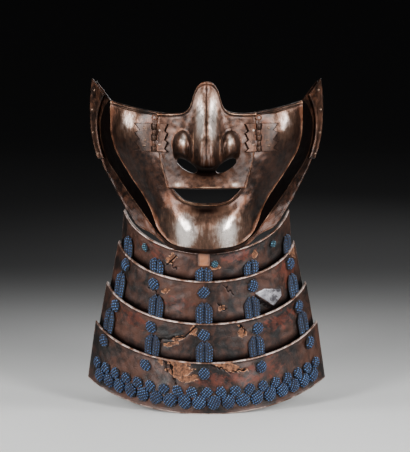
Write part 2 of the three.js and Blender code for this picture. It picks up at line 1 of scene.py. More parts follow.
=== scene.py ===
# %% [markdown]
# # A samurai face guard
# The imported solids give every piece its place. This lesson dresses them: each plate, lame, cord and knot
# is worked out again as a fine surface, and each finish is a small tree of shader nodes.

import json
import math

import bpy
import numpy as np
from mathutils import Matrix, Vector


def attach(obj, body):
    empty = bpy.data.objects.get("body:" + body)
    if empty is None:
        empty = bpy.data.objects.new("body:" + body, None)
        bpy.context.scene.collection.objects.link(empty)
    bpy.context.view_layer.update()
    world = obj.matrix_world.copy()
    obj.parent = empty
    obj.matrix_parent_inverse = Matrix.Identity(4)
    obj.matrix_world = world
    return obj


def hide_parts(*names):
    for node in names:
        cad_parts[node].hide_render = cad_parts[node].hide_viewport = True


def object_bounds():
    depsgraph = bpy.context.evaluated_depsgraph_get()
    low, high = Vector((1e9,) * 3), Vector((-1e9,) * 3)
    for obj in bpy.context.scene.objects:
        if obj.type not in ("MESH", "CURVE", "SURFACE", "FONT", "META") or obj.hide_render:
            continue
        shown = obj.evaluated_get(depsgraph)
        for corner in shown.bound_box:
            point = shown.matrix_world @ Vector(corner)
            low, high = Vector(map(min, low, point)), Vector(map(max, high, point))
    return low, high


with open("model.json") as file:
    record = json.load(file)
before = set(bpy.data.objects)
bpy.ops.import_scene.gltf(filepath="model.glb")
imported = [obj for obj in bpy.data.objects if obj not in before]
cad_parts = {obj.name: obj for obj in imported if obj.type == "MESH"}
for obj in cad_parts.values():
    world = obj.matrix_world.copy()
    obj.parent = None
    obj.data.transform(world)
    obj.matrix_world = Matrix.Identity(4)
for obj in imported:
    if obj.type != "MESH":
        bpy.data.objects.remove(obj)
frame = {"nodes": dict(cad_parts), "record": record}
cad_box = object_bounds()
print("solids:", len(frame["nodes"]), "box in mm:", [[round(1000 * v, 1) for v in c] for c in cad_box])

# %% [markdown]
# ## Camera, light and floor
# The guard was photographed almost level, from about two metres with a long lens, so its width hardly
# shrinks towards the ears. The camera comes first, because every later step is judged through it.

# %% Camera
MM = 0.001
SEEN_POINT = np.array([-1.07, 20, 17.35]) * MM
CAMERA_DISTANCE = 2.0
CAMERA_RISE = math.radians(7)
MM_PER_PIXEL = 0.711
PICTURE_HEIGHT = 452

back = np.array([0, -math.cos(CAMERA_RISE), math.sin(CAMERA_RISE)])
camera = bpy.data.objects.new("camera", bpy.data.cameras.new("camera"))
bpy.context.scene.collection.objects.link(camera)
camera.location = SEEN_POINT + CAMERA_DISTANCE * back
camera.rotation_euler = (math.pi / 2 - CAMERA_RISE, 0, 0)
camera.data.sensor_width = 36
camera.data.lens = 36 * CAMERA_DISTANCE / (PICTURE_HEIGHT * MM_PER_PIXEL * MM)
bpy.context.scene.camera = camera
print("lens:", round(camera.data.lens), "mm")

# %% [markdown]
# Iron is seen by what it mirrors. Two tall soft lamps in front give the nose and chin their broad silver
# lights, weaker ones at the sides draw the ears, and a faint one behind lights the inside. One function
# makes them all, because they differ only in place, size and power.

# %% Lamps
LAMPS_AIM = (0, 0, 0.02)


def softbox(name, place, width, height, power, spread=60):
    """A rectangular lamp at place, turned to look at the guard; its beam is spread degrees wide."""
    lamp = bpy.data.lights.new(name, "AREA")
    lamp.shape = "RECTANGLE"
    lamp.size = width
    lamp.size_y = height
    lamp.energy = power
    lamp.spread = math.radians(spread)
    holder = bpy.data.objects.new(name, lamp)
    bpy.context.scene.collection.objects.link(holder)
    holder.location = place
    way = Vector(LAMPS_AIM) - Vector(place)
    holder.rotation_euler = way.to_track_quat("-Z", "Y").to_euler()
    return holder


softbox("lamp_left", (-0.78, -1.05, 0.42), 0.34, 1.2, 5.8)
softbox("lamp_right", (0.78, -1.05, 0.42), 0.34, 1.2, 5.8)
softbox("lamp_side_left", (-1.25, -0.2, 0.45), 0.4, 0.6, 1.8)
softbox("lamp_side_right", (1.25, -0.2, 0.45), 0.4, 0.6, 2.2)
softbox("lamp_above", (0.0, -0.1, 1.6), 0.8, 0.6, 9, 180)
softbox("lamp_back", (0.5, 1.5, 0.6), 0.9, 0.9, 1.1, 50)
sky = bpy.data.worlds.new("sky")
sky.use_nodes = True
sky.node_tree.nodes["Background"].inputs["Color"].default_value = (0.8, 0.83, 0.88, 1)
sky.node_tree.nodes["Background"].inputs["Strength"].default_value = 0.035
bpy.context.scene.world = sky

# %% [markdown]
# The floor is a sheet of studio paper that rises behind the guard in a quarter circle, so that no corner
# shows. It is a strip of quads along that line, and it stands aside from the part.

# %% Floor
SWEEP_START = 1.9
SWEEP_RADIUS = 0.8
floor_z = cad_box[0].z
sweep_turn = np.linspace(0, math.pi / 2, 24)
sweep_y = np.concatenate([[-4, SWEEP_START], SWEEP_START + SWEEP_RADIUS * np.sin(sweep_turn), [2.7]])
sweep_z = np.concatenate([[0, 0], SWEEP_RADIUS * (1 - np.cos(sweep_turn)), [4]]) + floor_z
sweep_points = [(x, y, z) for x in (-5, 5) for y, z in zip(sweep_y, sweep_z)]
steps = len(sweep_y)
sweep_faces = [(i, i + steps, i + steps + 1, i + 1) for i in range(steps - 1)]
sweep_mesh = bpy.data.meshes.new("floor")
sweep_mesh.from_pydata(sweep_points, [], sweep_faces)
sweep_mesh.shade_smooth()
floor = bpy.data.objects.new("floor", sweep_mesh)
bpy.context.scene.collection.objects.link(floor)
print("floor at", round(1000 * floor_z, 1), "mm")

# %% [markdown]
# ## Shader sums
# A finish is easier to read as a sum than as a web of nodes. One small class wraps a socket, and its
# operators add Math nodes. A second class adds any other node, with its settings before its inputs.


# %% Socket class
class Tone:
    """A shader socket that can stand in a sum. Each operator adds one Math node."""

    def __init__(self, paint, socket):
        self.paint = paint
        self.socket = socket

    def sum(self, operation, first, second):
        return self.paint.node("ShaderNodeMath", {"operation": operation}, {0: first, 1: second})

    def __add__(self, other):
        return self.sum("ADD", self, other)

    def __radd__(self, other):
        return self.sum("ADD", other, self)

    def __sub__(self, other):
        return self.sum("SUBTRACT", self, other)

    def __rsub__(self, other):
        return self.sum("SUBTRACT", other, self)

    def __mul__(self, other):
        return self.sum("MULTIPLY", self, other)

    def __rmul__(self, other):
        return self.sum("MULTIPLY", other, self)

    def clip(self):
        return self.paint.node("ShaderNodeClamp", {}, {"Value": self})


def tint(red, green, blue):
    """A screen colour, 0 to 255, as the linear colour that the shader works in."""
    screen = np.array([red, green, blue]) / 255
    linear = np.where(screen <= 0.04045, screen / 12.92, ((screen + 0.055) / 1.055) ** 2.4)
    return (*[float(c) for c in linear], 1)


# %% Material class
class Paint:
    """One material and the nodes in it."""

    def __init__(self, name):
        self.material = bpy.data.materials.new(name)
        self.material.use_nodes = True
        self.tree = self.material.node_tree
        self.tree.nodes.clear()
        self.place = self.node("ShaderNodeTexCoord", output="Object")

    def node(self, kind, settings=None, inputs=None, output=0):
        """Adds a node, sets its settings, then gives its sockets their values or links."""
        made = self.tree.nodes.new(kind)
        for key, value in (settings or {}).items():
            setattr(made, key, value)
        for key, value in (inputs or {}).items():
            if isinstance(value, Tone):
                self.tree.links.new(value.socket, made.inputs[key])
            else:
                made.inputs[key].default_value = value
        return None if output is None else Tone(self, made.outputs[output])

    def mark(self, name):
        """A number that was stored on the mesh."""
        return self.node("ShaderNodeAttribute", {"attribute_name": name}, output="Fac")

    def noise(self, size_mm, detail=4, rough=0.55, warp=0, stretch=(1, 1, 1)):
        """Noise from 0 to 1 whose lumps are about size_mm across."""
        sized = self.node("ShaderNodeMapping", {}, {"Vector": self.place, "Scale": stretch})
        inputs = {"Vector": sized, "Scale": 1000 / size_mm, "Detail": detail, "Roughness": rough}
        return self.node("ShaderNodeTexNoise", {}, {**inputs, "Distortion": warp})

    def cells(self, size_mm, feature="F1"):
        """Distance to the nearest of many scattered points, or to the edge between two of them."""
        inputs = {"Vector": self.place, "Scale": 1000 / size_mm}
        return self.node("ShaderNodeTexVoronoi", {"feature": feature}, inputs, "Distance")

    def step(self, value, low, high):
        """0 below low, 1 above high, smooth between; with low above high it falls instead."""
        inputs = {"Value": value, "From Min": low, "From Max": high}
        return self.node("ShaderNodeMapRange", {"interpolation_type": "SMOOTHSTEP"}, inputs)

    def blend(self, share, first, second):
        """The first colour where share is 0, the second where it is 1."""
        return self.node("ShaderNodeMix", {"data_type": "RGBA"}, {0: share, 6: first, 7: second}, 2)

    def bump(self, height, depth_mm, strength):
        """Tilts the normal as if the surface rose by height times depth_mm."""
        inputs = {"Height": height, "Distance": depth_mm * MM, "Strength": strength}
        return self.node("ShaderNodeBump", {}, inputs)

    def finish(self, **sockets):
        """Puts the values and links on a Principled shader and joins it to the output."""
        named = {key.replace("_", " ").title(): value for key, value in sockets.items()}
        if "Specular Ior Level" in named:
            named["Specular IOR Level"] = named.pop("Specular Ior Level")
        shader = self.node("ShaderNodeBsdfPrincipled", {}, named)
        self.node("ShaderNodeOutputMaterial", {}, {"Surface": shader}, None)
        return self.material


print("a mid grey of the screen is", round(tint(128, 128, 128)[0], 3), "to the shader")

# %% [markdown]
# The paper is pale round the guard and falls off to black behind it, as in the photo, where the lamps
# don't reach the backdrop. The fall is painted by depth, so it doesn't hang on the lamps.

# %% The floor's finish
paper = Paint("floor_paper")
pale = paper.blend(paper.noise(400, 2), tint(196, 197, 197), tint(204, 204, 202))
depth = paper.node("ShaderNodeSeparateXYZ", {}, {"Vector": paper.place}, "Y")
pale = paper.blend(paper.step(depth, -0.34, 0.8), pale, tint(5, 5, 7))
floor.data.materials.append(paper.finish(base_color=pale, roughness=0.9))
print("floor finish:", floor.data.materials[0].name)

# %% [markdown]
# ## From numbers to a mesh
# Every piece below is a grid of points worked out as whole arrays. Points that fall together are merged,
# which closes seams and poles, and the sign of the enclosed volume tells which way the faces look.


# %% Mesh helpers
def sheet(points, marks=None):
    """Two triangles for each cell of a grid of points, whose last column joins the first."""
    rows, columns = points.shape[:2]
    i, j = np.meshgrid(np.arange(rows - 1), np.arange(columns), indexing="ij")
    right = (j + 1) % columns
    corner = [i * columns + j, (i + 1) * columns + j, (i + 1) * columns + right, i * columns + right]
    a, b, c, d = [k.ravel() for k in corner]
    faces = np.concatenate([np.stack([a, b, c], 1), np.stack([a, c, d], 1)])
    flat = {key: np.broadcast_to(value, points.shape[:2]).ravel() for key, value in (marks or {}).items()}
    return closed(points.reshape(-1, 3), faces, flat)


def closed(points, faces, marks):
    """Merges points that fall together, drops faces with no area, and turns them outwards by volume."""
    keys = np.round(points * 2000).astype(np.int64)
    _, first, back_to = np.unique(keys, axis=0, return_index=True, return_inverse=True)
    faces = back_to.ravel()[faces]
    real = (faces[:, 0] != faces[:, 1]) & (faces[:, 1] != faces[:, 2]) & (faces[:, 2] != faces[:, 0])
    faces = faces[real]
    points = points[first]
    p, q, r = [points[faces[:, k]] - points.mean(0) for k in range(3)]
    if np.einsum("ij,ij->i", p, np.cross(q, r)).sum() < 0:
        faces = faces[:, ::-1]
    return points, faces, {key: value[first] for key, value in marks.items()}


def piece(name, parts, material, body, nodes):
    """Joins the parts, in millimetres, into one object in metres, ties it to its body and hides the solids
    named in nodes.
    """
    starts = np.cumsum([0] + [len(p[0]) for p in parts[:-1]])
    points = np.concatenate([p[0] for p in parts]) * MM
    faces = np.concatenate([p[1] + start for p, start in zip(parts, starts)])
    mesh = bpy.data.meshes.new(name)
    mesh.from_pydata(points.tolist(), [], faces.tolist())
    mesh.shade_smooth()
    for key in sorted({key for p in parts for key in p[2]}):
        values = np.concatenate([p[2].get(key, np.zeros(len(p[0]))) for p in parts])
        mesh.attributes.new(key, "FLOAT", "POINT").data.foreach_set("value", values.astype(np.float32))
    made = bpy.data.objects.new(name, mesh)
    bpy.context.scene.collection.objects.link(made)
    mesh.materials.append(material)
    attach(made, body)
    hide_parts(*nodes)
    print(f"{name}: {len(faces)} triangles")
    return made


# %% [markdown]
# A forged plate has two faces and a rounded edge all the way round. The next function offsets a surface
# to both sides and lets the grid wrap round its own rim, so that one grid makes the whole closed plate.


# %% Plate helper
def unit(vectors):
    """Each vector divided by its length."""
    return vectors / np.maximum(np.linalg.norm(vectors, axis=-1, keepdims=True), 1e-12)


def tangents(surface, u, v, u_range, v_range):
    """The normal of a surface and its two slopes, in mm per unit of u and v."""
    du = (u_range[1] - u_range[0]) * 1e-3
    dv = (v_range[1] - v_range[0]) * 1e-3
    u_low = np.maximum(u - du, u_range[0])
    u_high = np.minimum(u + du, u_range[1])
    v_low = np.maximum(v - dv, v_range[0])
    v_high = np.minimum(v + dv, v_range[1])
    along_u = (surface(u_high, v) - surface(u_low, v)) / (u_high - u_low)[..., None]
    along_v = (surface(u, v_high) - surface(u, v_low)) / (v_high - v_low)[..., None]
    return unit(np.cross(along_u, along_v)), along_u, along_v


def plate(surface, us, vs, inner, outer, facing, relief=None, marks=None, rolls=4):
    """A closed plate between the offsets inner and outer of a surface, with a half round edge.
    The grid runs over the outer face, turns by quarter circles round each rim and comes back inside."""
    turn = np.linspace(0, math.pi / 2, rolls + 1)[1:]
    u = np.concatenate([np.full(rolls, us[0]), us, np.full(rolls, us[-1])])
    v = np.concatenate([np.full(rolls, vs[0]), vs, np.full(rolls, vs[-1])])
    turn_u = np.concatenate([-turn[::-1], np.zeros(len(us)), turn])
    turn_v = np.concatenate([-turn[::-1], np.zeros(len(vs)), turn])
    u, v = np.meshgrid(u, v, indexing="ij")
    turn_u, turn_v = np.meshgrid(turn_u, turn_v, indexing="ij")
    normal, along_u, along_v = tangents(surface, u, v, (us[0], us[-1]), (vs[0], vs[-1]))
    normal = normal * facing
    half = (outer - inner) / 2
    middle = surface(u, v) + normal * (outer + inner) / 2
    side = unit(along_u) * np.sin(turn_u)[..., None] + unit(along_v) * np.sin(turn_v)[..., None]
    up = (np.cos(turn_u) * np.cos(turn_v))[..., None]
    raised = relief(u, v, along_u, along_v)[..., None] * up if relief else 0
    front = middle + half * (normal * up + side) + normal * raised
    rear = middle + half * (side - normal * up)
    points = np.concatenate([front, rear[:, ::-1]], axis=1)
    given = marks(u, v, along_u, along_v) if marks else {}
    both = {key: np.concatenate([value, value[:, ::-1]], axis=1) for key, value in given.items()}
    both["inside"] = np.concatenate([np.zeros(u.shape), np.ones(u.shape)], axis=1)
    return sheet(points, both)


def bell(distance, spread):
    """A bell curve: 1 at distance 0 and 0.37 at the spread."""
    return np.exp(-((distance / spread) ** 2))


def smooth(value, low, high):
    """0 below low, 1 above high, and an S between them."""
    share = np.clip((value - low) / (high - low), 0, 1)
    return share * share * (3 - 2 * share)


def ripple(points, size, seed, waves=10):
    """Smooth noise: the sum of sine waves in seeded directions, each about size mm long."""
    dice = np.random.default_rng(seed)
    total = 0
    for _ in range(waves):
        way = unit(dice.normal(size=3))
        length = size * dice.uniform(0.7, 1.5)
        total = total + np.sin(points @ way * 2 * math.pi / length + dice.uniform(0, 2 * math.pi))
    return total / math.sqrt(waves / 2)


# %% [markdown]
# ## The mask's sheet of iron
# The real mask is one piece of iron, hammered over stakes: cheeks, jaw and chin, a sharp crease, a deep
# groove for the cord and a flange. It is described by rows from the ear round to the chin, each with a
# point at the face opening, the crease, the groove's foot and the rim; smooth curves join the rows.

# %% Mask sizes and rows
MASK_HALF_WIDTH = 82
MASK_DEPTH = 65
MASK_HEIGHT = 117
PLATE_THICKNESS = 1.5
GAP = 0.35
LIP_ROLL = 2.2
LIP_ROLL_REACH = 0.07
CHEEK_DRIFT = 0.35
BULGE_SHARPNESS = 1.25
# Each row: x, y, z of the opening, the bulge, then x, y, z of the crease, the foot and the edge, all in
# percent of the mask's half width, depth and height
MASK_ROWS = np.array(
    [
        [38, 16, 84, 4.6, 83, 55.4, 89.4, 84.9, 63, 89.9, 97.6, 94, 100],
        [38, 15.8, 81, 7, 83.3, 56, 84.6, 89.6, 80, 85, 99.4, 95.4, 90.6],
        [38, 15.4, 75, 9.2, 83.2, 57, 78.2, 93, 87.7, 77.8, 100, 99, 80.3],
        [38, 14.6, 68.4, 10, 82.7, 57, 69.2, 93, 87.7, 68, 99, 98.5, 68.8],
        [37.4, 13.8, 61.5, 9.2, 79, 54, 60.2, 90.2, 84, 58.3, 95.6, 94, 57.5],
        [36.6, 11.5, 55, 7, 72.4, 49, 52, 85, 76, 50.7, 91.2, 87, 49.8],
        [35, 8.5, 49, 5, 66.2, 44.6, 45.3, 78.4, 67.7, 44, 86.2, 79, 42.7],
        [32.7, 6.2, 43.2, 4.3, 59.8, 40, 39, 72, 59, 37.8, 81, 71.5, 36.2],
        [29.5, 4.6, 38.6, 5.2, 53.2, 34.6, 32.2, 65, 50.8, 31.2, 75, 63, 29],
        [25, 2.2, 34.9, 7.7, 48.3, 30, 25.6, 57.8, 42.3, 24.8, 68.5, 53, 22.2],
        [19.5, 0, 31.9, 9.8, 44.6, 24.8, 18.8, 50, 32, 18, 60, 41.5, 14.5],
        [14, -1.2, 30.8, 8.6, 39.8, 16, 12, 41.8, 19, 11.3, 46.8, 24.4, 10.6],
        [9, -2, 30.3, 6, 28.8, 3.6, 6, 29.3, 4.9, 5.2, 33, 9.8, 3.8],
        [4.6, -2.3, 30.1, 4.4, 14.6, -4.8, 4.1, 14.8, -3.9, 3.2, 17, 1.2, 0.9],
        [0, -2.3, 30.1, 3.8, 0, -7.4, 3.4, 0, -6.5, 2.5, 0, -0.9, 0],
    ]
)
# Soft swellings and hollows: x, z, their spreads, and how far they stand forward, in the same percent
FACE_FORMS = [
    (68, 75, 12, 8.5, 2.8),
    (46, 51, 11, 7.7, -2.8),
    (17, 13, 12, 12, 3.8),
    (6, 26, 10, 5, -3.4),
]
CHIN_ROW = len(MASK_ROWS) - 1
MOUTH_ROW = 8
WHOLE = np.array([MASK_HALF_WIDTH, MASK_DEPTH, MASK_HEIGHT]) / 100
print("mask rows:", len(MASK_ROWS))


# %% Curves through the rows
def spline(points):
    """A smooth curve through the points: between two of them a cubic whose slopes at its ends are half
    the way from the point before to the point after. It takes an array of rows, 0 at the first point."""
    p = np.asarray(points, float)
    wide = np.vstack([2 * p[0] - p[1], p, 2 * p[-1] - p[-2]])

    def at(row):
        row = np.clip(row, 0, len(p) - 1)
        i = np.minimum(row.astype(int), len(p) - 2)
        t = (row - i)[..., None]
        before, start, end, after = (wide[i + k] for k in range(4))
        leave = (end - before) / 2
        arrive = (after - start) / 2
        cubic = 2 * start - 2 * end + leave + arrive
        square = -3 * start + 3 * end - 2 * leave - arrive
        return ((cubic * t + square) * t + leave) * t + start

    return at


opening_line = spline(MASK_ROWS[:, 0:3] * WHOLE)
bulge_line = spline(MASK_ROWS[:, 3:4] * MASK_DEPTH / 100)
crease_line = spline(MASK_ROWS[:, 4:7] * WHOLE)
foot_line = spline(MASK_ROWS[:, 7:10] * WHOLE)
edge_line = spline(MASK_ROWS[:, 10:13] * WHOLE)
print("crease at the ear, in mm:", np.round(crease_line(np.array(0.0)), 1))


# %% Mask surface
def side_of(row):
    return 1 - row / CHIN_ROW


def form_forward(x, z):
    """The sum of the face forms: each its lift times a bell across and a bell up."""
    across = 100 * x / MASK_HALF_WIDTH
    up = 100 * z / MASK_HEIGHT
    lifts = [lift * bell(across - fx, sx) * bell(up - fz, sz) for fx, fz, sx, sz, lift in FACE_FORMS]
    return sum(lifts) * MASK_DEPTH / 100


def mask_point(side, v):
    """side runs from -1 at the left ear through 0 at the chin to 1. v runs 0 to 1 over the cheek, straight
    from opening to crease plus a sine swell forwards, 1 to 2 down the groove and 2 to 3 over the flange."""
    row = CHIN_ROW * (1 - np.abs(side))
    opening = opening_line(row)
    crease = crease_line(row)
    foot = foot_line(row)
    edge = edge_line(row)
    on_cheek = np.clip(v, 0, 1)[..., None]
    down_wall = np.clip(v - 1, 0, 1)[..., None]
    over_flange = np.maximum(v - 2, 0)[..., None]
    p = opening + (crease - opening) * on_cheek + (foot - crease) * down_wall + (edge - foot) * over_flange
    swell = np.sin(np.pi * on_cheek[..., 0])
    cheek = np.clip((MOUTH_ROW + 2 - row) / 4, 0, 1)
    bulge = bulge_line(row)[..., 0] * np.maximum(swell, 0) ** BULGE_SHARPNESS
    p[..., 0] += CHEEK_DRIFT * cheek * bulge
    p[..., 1] -= bulge + form_forward(p[..., 0], p[..., 2]) * np.maximum(swell, 0)
    mouth = smooth(row, MOUTH_ROW - 0.5, MOUTH_ROW + 2)
    p[..., 1] -= mouth * LIP_ROLL * np.exp(-np.maximum(v, 0) / LIP_ROLL_REACH)
    p[..., 0] *= np.where(side < 0, -1, 1)
    return p


print("middle of the chin, in mm:", np.round(mask_point(np.array(0.0), np.array(0.5)), 1))

# %% [markdown]
# The finish follows the shape: thin light lines on the crease, the rolled rim and the lower lip, where hands
# and cords have rubbed them and which are also painted edge highlights, copper brown beside them, a rubbed
# chin with painted highlights and a groove painted black as its shade. These places are known where the
# surface is worked out, so they are stored on its points as marks for the shader.


# %% Mask marks and relief
def mask_distances(u, v, along_u, along_v):
    """Distances in mm: to the top rim, along the cheek from the opening, to the crease, foot and edge."""
    rim = (1 - np.abs(u)) * np.linalg.norm(along_u, axis=-1)
    row = CHIN_ROW * (1 - np.abs(u))
    wide = np.linalg.norm(crease_line(row) - opening_line(row), axis=-1)
    wall = np.linalg.norm(foot_line(row) - crease_line(row), axis=-1)
    flange = np.linalg.norm(edge_line(row) - foot_line(row), axis=-1)
    from_opening = v * wide
    to_crease = np.where(v < 1, (1 - v) * wide, (v - 1) * wall)
    to_foot = np.where(v < 2, (2 - v) * wall, (v - 2) * flange)
    to_edge = (3 - v) * flange
    return rim, from_opening, to_crease, to_foot, np.where(v < 2, 99, to_edge)


def mask_relief(u, v, along_u, along_v):
    """The height in mm that is added to the mask's surface."""
    rim, from_opening, to_crease, to_foot, to_edge = mask_distances(u, v, along_u, along_v)
    p = mask_point(u, v)
    row = CHIN_ROW * (1 - np.abs(u))
    cheek = v < 1.02
    bead = np.where(cheek, 0.6 * bell(rim - 0.5, 0.55) - 0.3 * bell(rim - 1.8, 0.6), 0)
    lip = smooth(row, MOUTH_ROW, MOUTH_ROW + 1) * 0.3 * bell(from_opening - 0.6, 0.6)
    edges = 0.3 * bell(to_crease, 0.9) + 0.25 * bell(to_foot, 0.7) + 0.35 * bell(to_edge - 0.6, 0.7)
    edges = edges * (1 - 0.8 * smooth(row, 11.5, 13))
    hammered = 0.1 * ripple(p, 13, 3) + 0.05 * ripple(p, 6, 4)
    return bead + lip + edges + hammered * smooth(rim, 1, 5)


def mask_marks(u, v, along_u, along_v):
    """The mask's marks of about 0 to 1: wear, light lines, worn bright places with painted highlights, and
    painted shade.
    """
    rim, from_opening, to_crease, to_foot, to_edge = mask_distances(u, v, along_u, along_v)
    p = mask_point(u, v)
    x = np.abs(p[..., 0])
    z = p[..., 2]
    row = CHIN_ROW * (1 - np.abs(u))
    on_lip = smooth(row, MOUTH_ROW, MOUTH_ROW + 1)
    cheek = v < 1.02
    side = 1 - smooth(row, 11.3, 12.8)
    # Thin light lines on the rim bead, crease, groove foot, flange edge and lower lip: partly worn bright,
    # partly painted edge highlight.
    line = np.where(cheek, 0.6 * bell(rim - 0.3, 0.4), 0)
    line = line + side * (bell(to_crease, 0.5) + 0.7 * bell(to_foot, 0.5))
    line = line + side * 0.8 * bell(to_edge - 0.4, 0.5) + on_lip * bell(from_opening - 0.4, 0.5)
    wear = 0.75 * side * bell(to_crease, 2.6) * cheek + (0.3 + 0.15 * side) * smooth(v, 2, 2.05)
    wear = wear + 0.8 * bell(x - 26, 6) * bell(z - 38, 6) + 0.7 * bell(x - 41, 4) * bell(z - 91, 5)
    wear = wear + 0.5 * bell(x - 66, 6) * bell(z - 98, 7) + 0.55 * bell(x - 38, 9) * bell(z - 20, 9)
    wear = wear + 0.15 * bell(x, 4) * bell(z - 14, 14) * cheek
    # Worn high places with painted highlights: two streaks on the chin, a lighter chin middle and a spot on
    # each cheekbone.
    polish = (0.85 * bell(z - 13, 13) * bell(x - 15, 7) + 0.45 * bell(z - 20, 16) * bell(x - 18, 20)) * cheek
    polish = polish + 0.7 * bell(x - 56, 9) * bell(z - 92, 13) * cheek
    polish = polish + 0.34 * bell(x, 8) * bell(z - 11, 14) * cheek
    # Painted shade: the groove near black, a dark line under the rim bead and a dark hollow under the lower
    # lip; the flange a little darker.
    soot = side * smooth(v, 1.0, 1.05) * (1 - smooth(v, 1.95, 2.0)) + 0.5 * bell(rim - 1.9, 0.6) * cheek
    soot = soot + on_lip * bell(from_opening - 4.6, 3) * bell(x, 13)
    soot = soot + 0.3 * smooth(v, 2.0, 2.1)
    return {"line": line, "wear": wear, "polish": polish, "soot": soot}


probe = [np.array(value) for value in (0.05, 0.5, [1, 0, 0], [0, 0, 1])]
print("marks on the chin:", {key: round(float(value), 2) for key, value in mask_marks(*probe).items()})

# %% [markdown]
# ## Russet iron
# The maker let the iron rust on purpose and rubbed it with tannin, so it is a dark red brown with a soft
# shine, not a bright metal. Three layers do it: mottled dark browns, copper brown wear, and pale lines on
# the edges, partly worn and partly painted edge highlight. On top come worn bright places with painted
# highlights and near black painted shade. Fine pits and long rubbing marks go into the bump.


# %% Iron finishes
def iron_finish(name, dark, middle, copper, rubbed_and_lit_brown, bright, base_rough):
    """Mottled dark and middle brown, with copper where the mark wear is, brown to bright where the iron is
    worn smooth or given painted highlights, and near black where shade is painted.
    """
    iron = Paint(name)
    clouds = iron.noise(26, 6, 0.62, 0.6)
    grains = iron.noise(3.2, 6, 0.7)
    rust = iron.noise(9, 7, 0.68, 0.4)
    color = iron.blend(iron.step(clouds * 0.45 + grains * 0.55, 0.38, 0.6), dark, middle)
    worn = iron.step(iron.mark("wear") * 0.75 + (rust - 0.5) * 1.5, 0.26, 0.72)
    color = iron.blend(worn * 0.7, color, copper)
    brushed = iron.noise(1.1, 3, 0.6, 0, (1, 1, 0.16))
    # Worn bright places, brown then near white; the same mark also holds the painted highlights.
    rubbed_and_highlight = iron.mark("polish") + (rust - 0.5) * 0.7 + (brushed - 0.5) * 0.5
    color = iron.blend(iron.step(rubbed_and_highlight, 0.08, 0.7) * 0.6, color, rubbed_and_lit_brown)
    polish = iron.step(rubbed_and_highlight, 0.45, 1.15)
    color = iron.blend(polish * 0.9, color, bright)
    speckle = iron.step(iron.noise(1.5, 3, 0.6), 0.62, 0.72)
    color = iron.blend(speckle * 0.35, color, copper)
    pits = iron.step(iron.cells(2.1) + iron.noise(7, 3) * 0.6, 0.42, 0.34)
    color = iron.blend(pits * 0.55, color, tint(22, 14, 12))
    # Light lines on edges and rims, partly worn bright, partly painted edge highlight.
    line = iron.step(iron.mark("line") + (grains - 0.5) * 0.7 + (rust - 0.5) * 0.6, 0.4, 0.9)
    line_tone = iron.blend(iron.step(rust, 0.42, 0.6), tint(122, 72, 38), tint(164, 130, 106))
    color = iron.blend(line * 0.72, color, line_tone)
    # Painted shade: near black in the mask's groove, in lines under the rim beads, under the lower lip, under
    # the nose and at the leaves' toothed ends; a plain darker tone on pins and knuckles.
    soot = iron.mark("soot").clip()
    color = iron.blend(soot * 0.96, color, tint(5, 3, 3))
    color = iron.blend(iron.mark("inside") * 0.6, color, tint(34, 20, 17))
    height = grains * 0.4 + clouds * 0.2 + brushed * 0.35 - pits * 0.5
    rough = base_rough + (clouds - 0.5) * 0.2 + (rust - 0.5) * 0.3
    rough = rough + worn * 0.12 - polish * 0.08 + soot * 0.35 + pits * 0.2
    metal = (0.88 - worn * 0.25 + soot * 0.3 - pits * 0.2).clip()
    return iron.finish(
        base_color=color,
        roughness=rough.clip(),
        metallic=metal,
        normal=iron.bump(height, 0.35, 0.55),
        coat_weight=(0.22 - soot * 0.22).clip(),
        coat_roughness=0.25,
    )


mask_iron = iron_finish(
    "russet_iron",
    dark=tint(17, 10, 7),
    middle=tint(54, 32, 22),
    copper=tint(92, 48, 21),
    rubbed_and_lit_brown=tint(122, 90, 72),
    bright=tint(214, 205, 198),
    base_rough=0.36,
)
nose_iron = iron_finish(
    "nose_iron",
    dark=tint(26, 15, 10),
    middle=tint(70, 46, 34),
    copper=tint(94, 51, 25),
    rubbed_and_lit_brown=tint(124, 97, 81),
    bright=tint(212, 201, 192),
    base_rough=0.37,
)
hinge_iron = iron_finish(
    "hinge_iron",
    dark=tint(22, 13, 9),
    middle=tint(56, 36, 26),
    copper=tint(88, 47, 21),
    rubbed_and_lit_brown=tint(100, 76, 60),
    bright=tint(132, 110, 95),
    base_rough=0.43,
)
print("iron finishes:", [m.name for m in bpy.data.materials if "iron" in m.name])

# %% Mask plate
mask_sides = np.sin(np.linspace(-1, 1, 321) * math.pi / 2 * 0.6) / math.sin(math.pi / 2 * 0.6)
cheek_steps = np.linspace(0, 1, 62)
mask_steps = np.concatenate([cheek_steps, np.linspace(1, 2, 22)[1:], np.linspace(2, 3, 16)[1:]])
mask_shell = plate(mask_point, mask_sides, mask_steps, -PLATE_THICKNESS, 0, -1, mask_relief, mask_marks, 3)
piece("mask_iron_plate", [mask_shell], mask_iron, "guard", ["mask_plate"])

# %% [markdown]
# ## The nose piece
# A separate plate laps over the face opening: a straight bridge with a fine raised line down its middle,
# a broad tip, two domed wings and a flat upper lip. Its height over the sheet is the higher of the bridge,
# a long bell across, and the wings, half ellipsoids, plus the line, the turned lip and the rolled rim.

# %% Nose sizes
NOSE_LENGTH = 74.2
NOSE_THICKNESS = 1.5
NOSE_OVERLAP = 3.4
NOSE_STAND_OFF = 1.2
NOSE_RIM_Y = 0.6
NOSE_LIP_Y = -3.4
NOSE_SIDE_BOW = 2.6
MOUTH_RISE = 1.9
BRIDGE_AT_TOP = 5.5
BRIDGE_AT_TIP = 25.5
WING_HEIGHT = 10.5
WING_PLACE = (48, 40.5)
WING_REACH = 20.5
WING_UP = 13.5
WING_DOWN = 23
